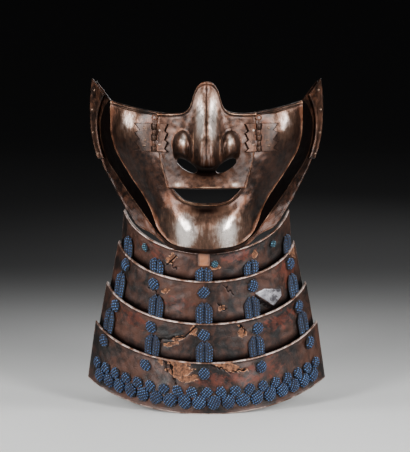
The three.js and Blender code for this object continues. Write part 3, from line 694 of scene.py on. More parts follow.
# The upper outline's right half, in percent of the half width and of the length
NOSE_OUTLINE = np.array(
    [
        [0, 100], [10, 99], [18.3, 95.6], [23.5, 91], [27.3, 85], [31.4, 78.7],
        [37.8, 73.5], [49.4, 70.3], [70.6, 69.1], [87, 68.9], [100, 68.9],
    ]
) / 100
rim_corner = opening_line(np.array(0.0))
mouth_corner = opening_line(np.array(float(MOUTH_ROW)))
nose_half_width = rim_corner[0] + NOSE_OVERLAP
lip_half_width = mouth_corner[0] + NOSE_OVERLAP
lip_height = mouth_corner[2] + MOUTH_RISE
rim_curve = (rim_corner[1] - NOSE_THICKNESS - NOSE_STAND_OFF - NOSE_RIM_Y) / rim_corner[0] ** 2
lip_curve = (mouth_corner[1] - NOSE_THICKNESS - NOSE_STAND_OFF - NOSE_LIP_Y) / mouth_corner[0] ** 2
outline_curve = spline(NOSE_OUTLINE)
print("nose piece:", round(2 * nose_half_width, 1), "mm wide, lip at", round(lip_height, 1))


# %% Nose surface
def nose_underside(across):
    """How far up the nose's underside lies: lowest at the middle, higher towards the wings."""
    return 0.19 + 0.12 * smooth(across, 0.08, 0.62)


def nose_parts(x, z):
    """Bridge, wings, ridge line and lip edge in mm, the place across and up the piece, and the distance
    from a wing's middle, 1 at its border. The bridge is a bell across, the wing a half ellipsoid."""
    across = np.abs(x) / nose_half_width
    up = (z - lip_height) / NOSE_LENGTH
    width = 0.335 + (0.22 - 0.335) * smooth(up, 0.26, 0.86)
    rise = BRIDGE_AT_TOP + (BRIDGE_AT_TIP - BRIDGE_AT_TOP) * smooth(1 - up, 0.026, 0.67)
    underside = nose_underside(across)
    above = smooth(up, underside - 0.05, underside + 0.045)
    keel = 2.6 - 0.7 * smooth(up, 0.4, 0.6)
    bridge = rise * above * np.exp(-((across / width) ** keel))
    over_wing = 100 * up - WING_PLACE[1]
    tall = np.where(over_wing > 0, WING_UP, WING_DOWN)
    reach = np.hypot((100 * across - WING_PLACE[0]) / WING_REACH, over_wing / tall)
    wings = WING_HEIGHT * np.sqrt(np.maximum(0, 1 - reach**2)) * above
    ridge = 0.6 * bell(x, 1.1) * smooth(up, 0.26, 0.36) * (1 - smooth(up, 0.83, 0.94))
    lip = 1.6 * bell(up, 0.058)
    return bridge, wings, ridge, lip, across, up, reach


def nose_y(x, z):
    """The plate's parabola across, less the relief, which stands forward."""
    share = smooth(z, lip_height, lip_height + 0.57 * NOSE_LENGTH)
    curve = lip_curve + (rim_curve - lip_curve) * share
    sheet_y = NOSE_LIP_Y + (NOSE_RIM_Y - NOSE_LIP_Y) * share + curve * x**2
    bridge, wings, ridge, lip, _, _, _ = nose_parts(x, z)
    return sheet_y - np.maximum(bridge, wings) - 0.25 * np.minimum(bridge, wings) - ridge - lip


def nose_point(across, up):
    """across runs -1 to 1 and up 0 at the lip to 1 at the top outline."""
    top = outline_curve(np.abs(across) * (len(NOSE_OUTLINE) - 1))
    reach = lip_half_width + (nose_half_width - lip_half_width) * up
    x = top[..., 0] * reach + NOSE_SIDE_BOW * np.sin(np.pi * up) * top[..., 0] ** 4
    z = lip_height + NOSE_LENGTH * top[..., 1] * up
    x = np.where(across < 0, -x, x)
    return np.stack([x, nose_y(x, z), z], -1)


nose_tip = nose_y(np.array(0.0), np.array(lip_height + 0.33 * NOSE_LENGTH))
print("nose tip at y", round(float(nose_tip), 1), "mm")


# %% Nose relief and marks
def nose_relief(u, v, along_u, along_v):
    """The height in mm that is added to the nose's surface."""
    p = nose_point(u, v)
    rim = (1 - v) * np.linalg.norm(along_v, axis=-1)
    edge = (1 - np.abs(u)) * np.linalg.norm(along_u, axis=-1)
    bead = 0.6 * bell(rim - 0.5, 0.55) - 0.25 * bell(rim - 1.8, 0.6) + 0.2 * bell(edge - 0.6, 0.6)
    _, _, _, _, across, up, reach = nose_parts(p[..., 0], p[..., 2])
    fold = 0.25 * bell(reach - 1.04, 0.05) * smooth(up, 0.36, 0.46)
    keel_line = -0.35 * bell(p[..., 0], 0.35) * smooth(up, 0.34, 0.42) * (1 - smooth(up, 0.84, 0.92))
    hammered = 0.07 * ripple(p, 12, 7) + 0.04 * ripple(p, 5, 8)
    return bead + fold + keel_line + hammered * smooth(rim, 1, 4)


def nose_marks(u, v, along_u, along_v):
    """The same marks for the nose, with painted shade under the wings, under the tip and down the bridge's
    middle, and painted highlights on the bridge, the wings and the lip's corners.
    """
    p = nose_point(u, v)
    x = p[..., 0]
    rim = (1 - v) * np.linalg.norm(along_v, axis=-1)
    edge = (1 - np.abs(u)) * np.linalg.norm(along_u, axis=-1)
    low = v * np.linalg.norm(along_v, axis=-1)
    _, _, _, _, across, up, reach = nose_parts(x, p[..., 2])
    # Thin light lines along the bridge's sides, round the wings, on the rim and the lip edge: partly worn,
    # partly painted edge highlight.
    side_line = bell(np.abs(x) - 9.2, 0.5) * smooth(up, 0.26, 0.34) * (1 - smooth(up, 0.5, 0.6))
    line = 0.65 * bell(rim - 0.4, 0.5) + 0.7 * bell(edge - 0.3, 0.5) + 0.8 * side_line
    line = line + 0.6 * bell(reach - 1.05, 0.035) * smooth(up, 0.36, 0.44)
    line = line + 0.9 * bell(low - 0.6, 0.6) * bell(x, 19)
    wear = 0.9 * bell(up - 0.98, 0.05) + 0.5 * bell(edge, 3) + 0.55 * bell(reach - 1.1, 0.12)
    wear = wear + 0.75 * bell(up - 0.27, 0.07) * bell(across, 0.3) + 0.35 * bell(low, 4)
    # Painted highlights, with some wear: the bridge's two flanks, a spot on each wing and the upper lip's
    # corners.
    polish = 1.1 * bell(up - 0.66, 0.24) * bell(np.abs(x) - 4.5, 4)
    polish = polish + 0.9 * bell(np.hypot(across - 0.48, up - 0.46), 0.08)
    polish = polish + 0.8 * bell(up - 0.03, 0.03) * bell(np.abs(x) - 20, 4)
    # Painted shade: a dark line down the bridge's fine groove and under the rim bead, dark under the tip,
    # over the underside and lower wings, and between nose and upper lip; the lower outer parts a little
    # darker.
    soot = 0.85 * bell(x + 0.3, 0.5) * smooth(up, 0.3, 0.4) * (1 - smooth(up, 0.84, 0.92))
    underside = nose_underside(across)
    soot = soot + 0.5 * bell(rim - 1.9, 0.5) + 0.9 * bell(up - underside + 0.045, 0.05) * bell(across, 0.5)
    shaded = smooth(up, underside - 0.02, underside + 0.02)
    shaded = shaded * (1 - smooth(up, underside + 0.06, underside + 0.2))
    soot = soot + 0.72 * shaded * bell(across, 0.75) + 0.45 * bell(up - 0.16, 0.09) * bell(x, 30)
    soot = soot + 0.35 * smooth(across, 0.35, 0.6) * (1 - smooth(up, 0.28, 0.42))
    return {"line": line, "wear": wear, "polish": polish, "soot": soot}


# %% Nose plate
nose_columns = np.linspace(-1, 1, 281)
nose_rows = np.linspace(0, 1, 131)
nose_shell = plate(nose_point, nose_columns, nose_rows, -NOSE_THICKNESS, 0, 1, nose_relief, nose_marks, 3)
nose_object = piece("nose_iron_plate", [nose_shell], nose_iron, "nose", ["nose_plate"])

# %% [markdown]
# The nostrils are open, so that the wearer can breathe. Two long rounded bodies are taken away from the
# plate with a Boolean modifier, and the result is kept as the mesh, so nothing stays live.

# %% Nostrils
NOSTRIL_PLACE = (0.4, 0.21)
NOSTRIL_FORWARD = 8
NOSTRIL_REACH = (8.4, 24, 3.4)
NOSTRIL_TILT = 0.54


def whole_turn(columns):
    """Even angles round a circle, without the last one, which is the first again."""
    return np.linspace(0, 2 * math.pi, columns, endpoint=False)


def rounded_body(centre, reach, turn, columns=40, rows=24):
    """A unit ball, a little squared by a power below 1, stretched by reach and turned by turn round y."""
    up, around = np.meshgrid(np.linspace(-1, 1, rows) * math.pi / 2, whole_turn(columns), indexing="ij")
    ball = np.stack([np.sin(up), np.cos(up) * np.cos(around), np.cos(up) * np.sin(around)], -1)
    ball = np.sign(ball) * np.abs(ball) ** 0.9 * np.array(reach)
    x, y, z = np.moveaxis(ball, -1, 0)
    turned = [x * math.cos(turn) + z * math.sin(turn), y, z * math.cos(turn) - x * math.sin(turn)]
    return sheet(np.stack(turned, -1) + np.array(centre))


def cut_with(target, cutters):
    """Takes the cutters, closed parts in mm, away from the object and keeps the result as its mesh."""
    for number, (points, faces, _) in enumerate(cutters):
        mesh = bpy.data.meshes.new("cutter")
        mesh.from_pydata((points * MM).tolist(), [], faces.tolist())
        tool = bpy.data.objects.new(f"cutter_{number}", mesh)
        bpy.context.scene.collection.objects.link(tool)
        change = target.modifiers.new("cut", "BOOLEAN")
        change.operation = "DIFFERENCE"
        change.solver = "EXACT"
        change.object = tool
        graph = bpy.context.evaluated_depsgraph_get()
        kept = bpy.data.meshes.new_from_object(target.evaluated_get(graph))
        target.modifiers.clear()
        target.data = kept
        bpy.data.objects.remove(tool)
    print(target.name, "after the cut:", len(target.data.polygons), "faces")


nostril_x = NOSTRIL_PLACE[0] * nose_half_width
nostril_z = lip_height + NOSTRIL_PLACE[1] * NOSE_LENGTH
nostril_cuts = [
    rounded_body((hand * nostril_x, -NOSTRIL_FORWARD, nostril_z), NOSTRIL_REACH, -hand * NOSTRIL_TILT)
    for hand in (-1, 1)
]
cut_with(nose_object, nostril_cuts)

# %% [markdown]
# ## Hinges
# A small leaf is riveted beside each edge of the nose piece and another on the cheek. Their ends are cut
# in teeth like a saw, their knuckles are rolled round a pin, and the pin has an eye at the top to pull it
# by. The leaves follow the plates under them: their y is read from the same surfaces.

# %% Hinge sizes
LEAF_THICKNESS = 1.1
LEAF_HEIGHT = 19
LEAF_DROP = 7.4
NOSE_LEAF_REACH = 7
CHEEK_LEAF_REACH = 12
LEAF_TEETH = 3
TOOTH_LONG_SIDE = 0.72
TOOTH_BITE = 0.3
BARREL_RADIUS = 1.6
BARREL_CLEARANCE = 0.6
NOSE_LEAF_INSET = 0.9
CHEEK_LEAF_INSET = 0.2
WEB_BITE = 0.8
PIN_RADIUS = 0.8
PIN_CLEARANCE = 0.3
KNUCKLE_GAP = 0.4
KNUCKLES = 5
leaf_top = rim_corner[2] - LEAF_DROP
leaf_bottom = leaf_top - LEAF_HEIGHT
hinge_x = nose_half_width + BARREL_CLEARANCE + BARREL_RADIUS
nose_leaf_near = hinge_x - BARREL_RADIUS - NOSE_LEAF_INSET
cheek_leaf_near = hinge_x + BARREL_RADIUS - CHEEK_LEAF_INSET
leaf_mid = np.array((leaf_top + leaf_bottom) / 2)
hinge_y = float(nose_y(np.array(nose_leaf_near), leaf_mid)) - GAP - LEAF_THICKNESS / 2
knuckle_height = (LEAF_HEIGHT - KNUCKLE_GAP * (KNUCKLES - 1)) / KNUCKLES
print("hinge axis at", round(hinge_x, 2), round(hinge_y, 2), "mm")


# %% Places on the two plates
def cheek_place(x, z):
    """The cheek point with the given x and z, found by stepping side and v towards it."""
    side = np.full(np.shape(x), side_of(3))
    v = np.full(np.shape(x), 0.2)
    for _ in range(14):
        p = mask_point(side, v)
        v = v + (x - p[..., 0]) / (crease_line(np.array(0.0))[0] - rim_corner[0])
        side = side + (z - p[..., 2]) / (CHIN_ROW * 0.09 * MASK_HEIGHT)
    return mask_point(side, v)


def nose_place(x, z):
    return np.stack([x, nose_y(x, z), z], -1)


def surface_normal(place, x, z):
    """The unit normal that faces front, from a small step across and one up."""
    step = 0.2
    across = place(x + step, z) - place(x - step, z)
    up = place(x, z + step) - place(x, z - step)
    normal = unit(np.cross(across, up))
    return normal if normal[1] < 0 else -normal


print("cheek at the hinge, in mm:", np.round(cheek_place(np.array(cheek_leaf_near), leaf_mid), 1))


# %% Leaf surface and marks
def leaf_surface(near, far, place):
    """s runs from the barrel to the saw teeth and t up the leaf. A tooth leans: one side is the longer."""

    def at(s, t):
        tooth = (1 - t) * LEAF_TEETH % 1
        rising = tooth / TOOTH_LONG_SIDE
        falling = (1 - tooth) / (1 - TOOTH_LONG_SIDE)
        bite = np.where(tooth < TOOTH_LONG_SIDE, rising, falling) * TOOTH_BITE * (far - near)
        x = near + s * (far - near - bite)
        z = leaf_bottom + (leaf_top - leaf_bottom) * t
        return place(x, z)

    return at


def leaf_marks(u, v, along_u, along_v):
    """The same marks for a hinge leaf: its teeth and long edges are lined, and painted shadow darkens its
    toothed end.
    """
    border = np.minimum(u * 7, np.minimum(v, 1 - v) * LEAF_HEIGHT)
    end = (1 - u) * np.linalg.norm(along_u, axis=-1)
    return {
        "line": 0.42 * bell(end - 0.5, 0.4) + 0.24 * bell(border - 0.4, 0.4),
        "wear": 0.2 + 0.45 * bell(u, 0.25),
        "polish": 0.2 * bell(u - 0.5, 0.3),
        # Painted shadow along the toothed end.
        "soot": 0.8 * bell(end, 0.3),
    }


# %% Rods, rivets and knuckles
def rod(bottom, top, radius, x, y, bore=0.0, columns=40):
    """An upright rod or tube: a profile from the inside bottom over rounded corners, turned round z."""
    corner = 0.18
    bevel = 0.3 * corner
    profile = np.array(
        [
            [bore, bottom],
            [radius - corner, bottom],
            [radius - bevel, bottom + bevel],
            [radius, bottom + corner],
            [radius, (bottom + top) / 2],
            [radius, top - corner],
            [radius - bevel, top - bevel],
            [radius - corner, top],
            [bore, top],
        ]
    )
    profile = np.vstack([profile, profile[:1]]) if bore else profile
    out = profile[:, :1]
    angle = whole_turn(columns)
    up = np.repeat(profile[:, 1:], columns, 1)
    points = np.stack([x + out * np.cos(angle), y + out * np.sin(angle), up], -1)
    return sheet(points, {"wear": 0.45, "polish": 0.2, "soot": 0.25})


def dome(place, normal, radius, height, rows=10, columns=24, sunk=0.3):
    """A rivet head: radius times cosine out, height times sine up, closed underneath."""
    up, angle = np.meshgrid(np.linspace(-0.15, 1, rows) * math.pi / 2, whole_turn(columns), indexing="ij")
    out = np.maximum(np.cos(up), 0) * radius
    out[0] = 0
    rise = np.sin(up) * height
    normal = unit(np.asarray(normal, float))
    first = unit(np.cross(normal, [0.1, 0.2, 1]))
    second = np.cross(normal, first)
    points = (out * np.cos(angle))[..., None] * first + (out * np.sin(angle))[..., None] * second
    points = points + (rise - sunk * height)[..., None] * normal + np.asarray(place)
    return sheet(points, {"wear": 0.5, "polish": 0.6, "line": 0.5 * bell(up - 1.2, 0.4)})


def mirrored(part, hand):
    """The part itself, or its mirror image in x with the faces turned back outwards."""
    points = part[0] * np.array([hand, 1, 1])
    return points, part[1] if hand > 0 else part[1][:, ::-1], part[2]


def knuckle(index, target):
    """A tube round the pin and a flat tongue from it to the leaf."""
    bottom = leaf_bottom + index * (knuckle_height + KNUCKLE_GAP)
    tube = rod(bottom, bottom + knuckle_height, BARREL_RADIUS, hinge_x, hinge_y, PIN_RADIUS + PIN_CLEARANCE)
    start = np.array([hinge_x, hinge_y])
    way = unit(target - start)
    begin = start + way * 1.25
    across = np.array([-way[1], way[0]])

    def tongue(s, t):
        place = begin + (target - begin) * s[..., None]
        return np.stack([place[..., 0], place[..., 1], bottom + knuckle_height * t], -1)

    half = LEAF_THICKNESS / 2
    sign = 1 if across[1] < 0 else -1
    lengths = np.linspace(0, 1, 8)
    heights = np.linspace(0.02, 0.98, 12)
    web = plate(tongue, lengths, heights, -half, half, sign, None, leaf_marks, 3)
    return [tube, web]


print("a rivet head has", len(dome((0, 0, 0), (0, -1, 0), 1.0, 0.8)[1]), "triangles")

# %% [markdown]
# Each leaf is a plate with a toothed end, its share of the knuckles and its rivets. The right hinge is
# worked out, and the left one is its mirror image.


# %% Leaves
def hinge_leaf(near, far, place, knuckles, rivets):
    """A leaf from near to far in x. Rivets are given by their shares out from the barrel and up."""
    surface = leaf_surface(near, far, place)
    facing = 1 if far > near else -1
    outs = np.linspace(0, 1, 40)
    ups = np.linspace(0, 1, 91)
    parts = [plate(surface, outs, ups, GAP, GAP + LEAF_THICKNESS, facing, None, leaf_marks, 3)]
    step_in = WEB_BITE * facing
    for index in knuckles:
        z = leaf_bottom + index * (knuckle_height + KNUCKLE_GAP) + knuckle_height / 2
        edge = place(np.array(near + step_in), np.array(z))
        parts += knuckle(index, edge[:2] - np.array([0, GAP + LEAF_THICKNESS / 2]))
    for out, up in rivets:
        x = np.array(near + (far - near) * out)
        z = np.array(leaf_bottom + LEAF_HEIGHT * up)
        normal = surface_normal(place, x, z)
        parts.append(dome(place(x, z) + normal * (GAP + LEAF_THICKNESS), normal, 1.0, 0.8))
    return parts


HANDS = (("left", -1), ("right", 1))
NOSE_RIVETS = [(0.25, 0.24), (0.25, 0.78)]
CHEEK_RIVETS = [(0.45, 0.2), (0.4, 0.4), (0.45, 0.84)]
nose_leaf_far = nose_leaf_near - NOSE_LEAF_REACH
cheek_leaf_far = cheek_leaf_near + CHEEK_LEAF_REACH
for side_name, hand in HANDS:
    leaf = hinge_leaf(nose_leaf_near, nose_leaf_far, nose_place, [1, 3], NOSE_RIVETS)
    leaf = [mirrored(part, hand) for part in leaf]
    piece(f"nose_hinge_{side_name}", leaf, nose_iron, "nose", [f"nose_leaf_{side_name}"])
    leaf = hinge_leaf(cheek_leaf_near, cheek_leaf_far, cheek_place, [0, 2, 4], CHEEK_RIVETS)
    leaf = [mirrored(part, hand) for part in leaf]
    piece(f"cheek_hinge_{side_name}", leaf, hinge_iron, "guard", [f"cheek_leaf_{side_name}"])

# %% [markdown]
# A pin is a plain rod with its upper end bent into an eye. The right pin draws out by itself, so it is on a
# body of its own; the frame's record says which body holds which pin.


# %% Pins
def ring(centre, radius, wire, columns=48, wire_columns=16):
    """A ring that stands upright and faces front: a small circle carried round a large one."""
    large, small = np.meshgrid(np.linspace(0, 2 * math.pi, columns), whole_turn(wire_columns), indexing="ij")
    out = radius + wire * np.cos(small)
    points = np.stack([out * np.cos(large), wire * np.sin(small), out * np.sin(large)], -1)
    marks = {"wear": 0.9 + 0 * large, "line": 0.4 * bell(np.cos(small) - 1, 0.3)}
    return sheet(points + np.asarray(centre), marks)


PIN_RISE = 3.3
PIN_EYE_RADIUS = 1.7
PIN_EYE_WIRE = 0.55
bodies = frame["record"]["behaviour"]["bodies"]
pin_top = leaf_top + PIN_RISE
for side_name, hand in HANDS:
    node = f"hinge_pin_{side_name}"
    owner = next(name for name, nodes in bodies.items() if node in nodes)
    shaft = rod(leaf_bottom - GAP, pin_top, PIN_RADIUS, hinge_x, hinge_y)
    eye = ring((hinge_x, hinge_y, pin_top + PIN_EYE_RADIUS - 0.2), PIN_EYE_RADIUS, PIN_EYE_WIRE)
    pin_parts = [mirrored(shaft, hand), mirrored(eye, hand)]
    piece(f"pin_{side_name}", pin_parts, hinge_iron, owner, [node])

# %% [markdown]
# ## Ear strips
# Each ear edge carries a long strip, riveted to the flange with round heads. It is a plate that follows
# the flange's own surface a little outside it.

# %% Ear strips
STRIP_SPAN = (0.3, 1.1)
STRIP_ROWS = (0, 4.5)
STRIP_THICKNESS = 1.5
STRIP_RIVET_ROWS = (0.4, 1.7, 3, 4.2)
STRIP_RIVET_PLACE = 0.85
STRIP_RIVET_RADIUS = 1.3


def flange_point(side, w):
    return mask_point(side, 2 + w)


def strip_edges(v, along_v, depth, spread):
    """A bell of the distance to a line at the given depth in from each long edge."""
    wide = np.linalg.norm(along_v, axis=-1)
    return bell((v - STRIP_SPAN[0]) * wide - depth, spread) + bell((STRIP_SPAN[1] - v) * wide - depth, spread)


def strip_relief(u, v, along_u, along_v):
    return 0.35 * strip_edges(v, along_v, 0.6, 0.6) + 0.06 * ripple(flange_point(u, v), 5, 11)


def strip_marks(u, v, along_u, along_v):
    return {"line": 0.6 * strip_edges(v, along_v, 0.5, 0.5), "wear": 0.5 + 0 * u, "polish": 0.1 + 0 * u}


strip_across = np.linspace(*STRIP_SPAN, 14)
strip_face = GAP + STRIP_THICKNESS
for side_name, hand in HANDS:
    strip_sides = np.sort(hand * side_of(np.linspace(*STRIP_ROWS, 90)))
    strip = plate(flange_point, strip_sides, strip_across, GAP, strip_face, -1, strip_relief, strip_marks, 3)
    parts = [strip]
    for row in STRIP_RIVET_ROWS:
        u = np.array(hand * side_of(row))
        v = np.array(STRIP_RIVET_PLACE)
        normal, _, _ = tangents(flange_point, u, v, (u - 0.1, u + 0.1), (v - 0.1, v + 0.1))
        parts.append(dome(flange_point(u, v) - normal * strip_face, -normal, STRIP_RIVET_RADIUS, 1.2))
    piece(f"ear_edge_{side_name}", parts, hinge_iron, "guard", [f"ear_strip_{side_name}"])

# %% [markdown]
# ## The four lames
# Each lame is a curved strip of hardened leather under many coats of lacquer, with a rolled, metal clad
# rim. A lame is the sheet between its own top edge and a lower edge tucked behind the next lame. The
# lacquer is cracked and flaked in known places, so the flakes are stored as marks and cut into the relief.

# %% Lame surface
GUARD_HALF_WIDTH = 85.5
GUARD_DEPTH = 50
GUARD_HEIGHT = 113
LAME_THICKNESS = 1.6
LAME_OVERLAP = 5
LAME_CLEARANCE = 0.5
# Each edge: half width, sweep in degrees, z at the middle and the ends, then y at both, in percent
LAME_EDGES = [
    (69.6, 76, -0.3, 22, 6, 100),
    (74.3, 80, -18, 2, 2, 98),
    (84.2, 76, -44.4, -24.3, -3, 96),
    (93.6, 70, -68.7, -49, -8, 92),
    (100, 56, -100, -84, -16, 82),
]
LAST_LAME = len(LAME_EDGES) - 2


def edge_point(edge, share, inset=0, drop=0):
    """A lame's edge in plan is an arc that sweeps back; y and z ease from the middle to the ends with it."""
    half_width, sweep, z, end_z, y, end_y = edge
    sweep = math.radians(sweep)
    turn = np.arcsin(np.clip(share * math.sin(sweep), -1, 1))
    back_share = (1 - np.cos(turn)) / (1 - math.cos(sweep))
    px = (half_width * GUARD_HALF_WIDTH / 100 - inset) * share
    py = (y + (end_y - y) * back_share) * GUARD_DEPTH / 100 + inset
    pz = (z + (end_z - z) * back_share) * GUARD_HEIGHT / 100 - drop
    return np.stack([px, py, pz], -1)


def lame_point(index, share, down):
    """share runs -1 to 1 along the lame, down 0 at its top edge to 1 at its lower edge."""
    tucked = index < LAST_LAME
    inset = LAME_THICKNESS + LAME_CLEARANCE if tucked else 0
    drop = LAME_OVERLAP if tucked else 0
    top = edge_point(LAME_EDGES[index], share)
    low = edge_point(LAME_EDGES[index + 1], share, inset, drop)
    return top + (low - top) * down[..., None]


def on_lame(index):
    """The surface of one lame, as the plate helper takes it."""

    def surface(share, down):
        return lame_point(index, share, down)

    return surface


print("hem width:", 2 * LAME_EDGES[-1][0] * GUARD_HALF_WIDTH / 100, "mm")

# %% [markdown]
# The damage is placed one by one. A patch is an ellipse with a ragged border and a crack is a broken line,
# both given in x and z in mm and only on the front of the guard.

# %% Damage
# Each patch: lame, middle in x and z, half width, half height and lean in radians
BARE_PATCHES = [
    (0, -25, -4.6, 2.6, 3.2, -0.6), (0, 34, -1.5, 1.6, 2.2, 0.2), (0, 6, -10, 3, 1.6, 0),
    (1, -29, -27.5, 3.4, 1.4, 0.3), (1, 11, -38.5, 2.2, 1.6, 0.5),
    (2, -9.4, -55.3, 2.4, 3.4, 0.3), (2, -24.5, -64.2, 5.4, 1.8, 0.15), (2, 25, -56.2, 2.4, 3.6, 0.5),
    (2, -20, -60.5, 4.5, 1.6, 0.3), (3, -18.5, -82.5, 6.6, 7.6, 0.3), (3, -12.5, -88.5, 7.5, 2.6, 0.2),
    (3, 15, -80.2, 11, 2.3, -0.25), (3, -33, -76, 1.6, 3, 0.5), (1, 63, -4, 3, 4, 0.3),
]
FLAKE = np.array([(34, -29.5), (41, -26.5), (53, -28), (53.5, -33), (48, -40)])
# A dark sliver beside the lifted silver flake, painted as its shadow, in x and z in mm.
FLAKE_SHADOW = np.array([(33.5, -29.5), (48, -40.2), (47, -43), (36, -36.5)])
CRACKS = [
    (0, [(-28, -9), (-24, -5), (-21, -2)]), (0, [(-21, -12), (-26, -6)]),
    (1, [(33.5, -30.5), (40, -36.5), (48, -41.5)]), (1, [(-42, -26), (-36, -29), (-31, -34)]),
    (1, [(12, -22), (19, -30)]), (1, [(8, -36), (13, -40)]),
    (2, [(-34, -62), (-26, -61), (-22, -59.5), (-15, -58.8), (-8, -52)]), (2, [(24, -51), (28.5, -57)]),
    (3, [(3, -79), (17, -84), (28, -82)]), (3, [(-31, -74), (-28, -84)]), (3, [(-26, -77), (-22, -93)]),
]
RED_PATCHES = [
    (0, 22, -2, 14, 4, 0.2), (1, 57, -18, 6, 9, 0.5), (2, 52, -50, 12, 5, 0.5), (3, 12, -90, 26, 6, 0),
    (0, -36, -1, 9, 4, -0.5), (2, -52, -48, 9, 6, -0.5), (1, -20, -36, 10, 4, 0), (3, 40, -84, 12, 7, 0.3),
]
FLAKED_LAME = 1
FRONT_DEPTH = 45
print(len(BARE_PATCHES), "bare patches,", len(CRACKS), "cracks,", len(RED_PATCHES), "red patches")


# %% Distance to the damage
def patches(index, points, listed, ragged):
    """The highest of the lame's patches: 1 inside, 0 from 1.25 times the ellipse, with a rippled border."""
    total = np.zeros(points.shape[:-1])
    rough = ragged * ripple(points, 5, 21) + 0.6 * ragged * ripple(points, 2.2, 22)
    for lame_number, x, z, wide, high, lean in listed:
        if lame_number == index:
            dx = points[..., 0] - x
            dz = points[..., 2] - z
            along = (dx * math.cos(lean) + dz * math.sin(lean)) / wide
            across = (dz * math.cos(lean) - dx * math.sin(lean)) / high
            reach = np.hypot(along, across)
            total = np.maximum(total, 1 - smooth(reach + rough, 0.75, 1.25))
    return total * (points[..., 1] < FRONT_DEPTH)


def within(points, outline):
    """1 inside an outline whose corners run clockwise in x and z, with an edge 0.5 mm soft."""
    depth = np.full(points.shape[:-1], 99.0)
    for start, end in zip(outline, np.roll(outline, -1, axis=0)):
        way = unit(end - start)
        from_start = points[..., [0, 2]] - start
        depth = np.minimum(depth, from_start[..., 0] * way[1] - from_start[..., 1] * way[0])
    return smooth(depth, 0, 0.5) * (points[..., 1] < FRONT_DEPTH)


def cracks(index, points):
    """How near a point is to one of the lame's listed cracks: a bell of its distance in x and z to the broken
    line.
    """
    nearest = np.full(points.shape[:-1], 99.0)
    shaken = points[..., [0, 2]] + 0.5 * ripple(points, 4, 31)[..., None]
    for lame_number, corners in CRACKS:
        if lame_number == index:
            corners = np.array(corners, float)
            for start, way in zip(corners[:-1], np.diff(corners, axis=0)):
                t = np.clip(((shaken - start) @ way) / (way @ way), 0, 1)
                distance = np.linalg.norm(shaken - start - t[..., None] * way, axis=-1)
                nearest = np.minimum(nearest, distance)
    return bell(nearest, 0.55) * (points[..., 1] < FRONT_DEPTH)


def lame_borders(index, u, v, along_u, along_v):
    """The distance in mm to the nearest edge; the lower edge counts on the last lame only."""
    top = v * np.linalg.norm(along_v, axis=-1)
    low = (1 - v) * np.linalg.norm(along_v, axis=-1) + (0 if index == LAST_LAME else 99)
    end = (1 - np.abs(u)) * np.linalg.norm(along_u, axis=-1)
    return np.minimum(np.minimum(top, low), end)


# %% [markdown]
# ## Lacquer over leather
# Old urushi is a deep brown that turns plum in the shade and red where it is thin. It has a quiet gloss, a
# net of fine wrinkles, and where it has flaked the tan leather shows with a pale torn border.

# %% Lacquer finish
lacquer = Paint("old_lacquer")
clouds = lacquer.noise(30, 5, 0.6, 0.8)
smudge = lacquer.noise(8, 6, 0.66, 0.5)
fine = lacquer.noise(2.2, 5, 0.7)
coat = lacquer.blend(lacquer.step(clouds * 0.5 + smudge * 0.5, 0.4, 0.62), tint(8, 5, 4), tint(55, 31, 21))
reddish = lacquer.step(lacquer.mark("red") * 0.6 + (smudge - 0.5) * 1.8, 0.2, 1.0)
coat = lacquer.blend(reddish * 0.75, coat, tint(78, 31, 18))
dusty = lacquer.step(lacquer.noise(6, 7, 0.75, 0.8), 0.55, 0.75)
coat = lacquer.blend(dusty * 0.25, coat, tint(78, 56, 47))
outside = 1 - lacquer.mark("inside")
# Painted shade: near black over each lame's lower part, which goes under the next lame, just above that
# lame's rim.
grime = lacquer.mark("grime").clip()
coat = lacquer.blend(grime * 0.97, coat, tint(4, 2, 2))
print("lacquer nodes without damage:", len(lacquer.tree.nodes))

# %% Flakes, cracks, rims and gloss
bare = lacquer.step(lacquer.mark("bare") + (fine - 0.5) * 0.35, 0.42, 0.58) * outside
leather_tone = lacquer.blend(lacquer.step(fine, 0.35, 0.65), tint(42, 25, 16), tint(112, 72, 48))
coat = lacquer.blend(bare * (0.55 + fine * 0.5), coat, leather_tone)
torn = lacquer.step(lacquer.mark("bare"), 0.15, 0.42) * lacquer.step(lacquer.mark("bare"), 0.66, 0.44)
torn = torn * outside * lacquer.step(fine, 0.4, 0.55)
coat = lacquer.blend(torn * 0.7, coat, tint(160, 114, 84))
silver = lacquer.step(lacquer.mark("silver") + (fine - 0.5) * 0.3, 0.4, 0.6) * outside
silver_tone = lacquer.blend(lacquer.step(smudge, 0.4, 0.62), tint(62, 60, 64), tint(146, 145, 150))
coat = lacquer.blend(silver * 0.85, coat, silver_tone)
# Dark cracks, and near black beside the flake where its shadow is painted.
crack = lacquer.step(lacquer.mark("crack") + (fine - 0.5) * 0.3, 0.3, 0.6) * outside
coat = lacquer.blend(crack * 0.95, coat, tint(12, 8, 8))
rim = lacquer.step(lacquer.mark("rim") + (fine - 0.5) * 0.45, 0.35, 0.75)
rim_tone = lacquer.blend(lacquer.step(smudge, 0.4, 0.6), tint(96, 68, 54), tint(176, 158, 150))
coat = lacquer.blend(rim * 0.85, coat, rim_tone)
coat = lacquer.blend(lacquer.mark("inside") * 0.5, coat, tint(40, 26, 24))
wrinkles = lacquer.cells(4.5, "DISTANCE_TO_EDGE")
net = lacquer.step(wrinkles, 0.0, 0.06)
lacquer_height = smudge * 0.5 + fine * 0.3 + net * 0.25 + clouds * 0.3
lacquer_rough = (0.5 + (smudge - 0.5) * 0.35 + bare * 0.3 + crack * 0.3 - silver * 0.15 - rim * 0.1).clip()
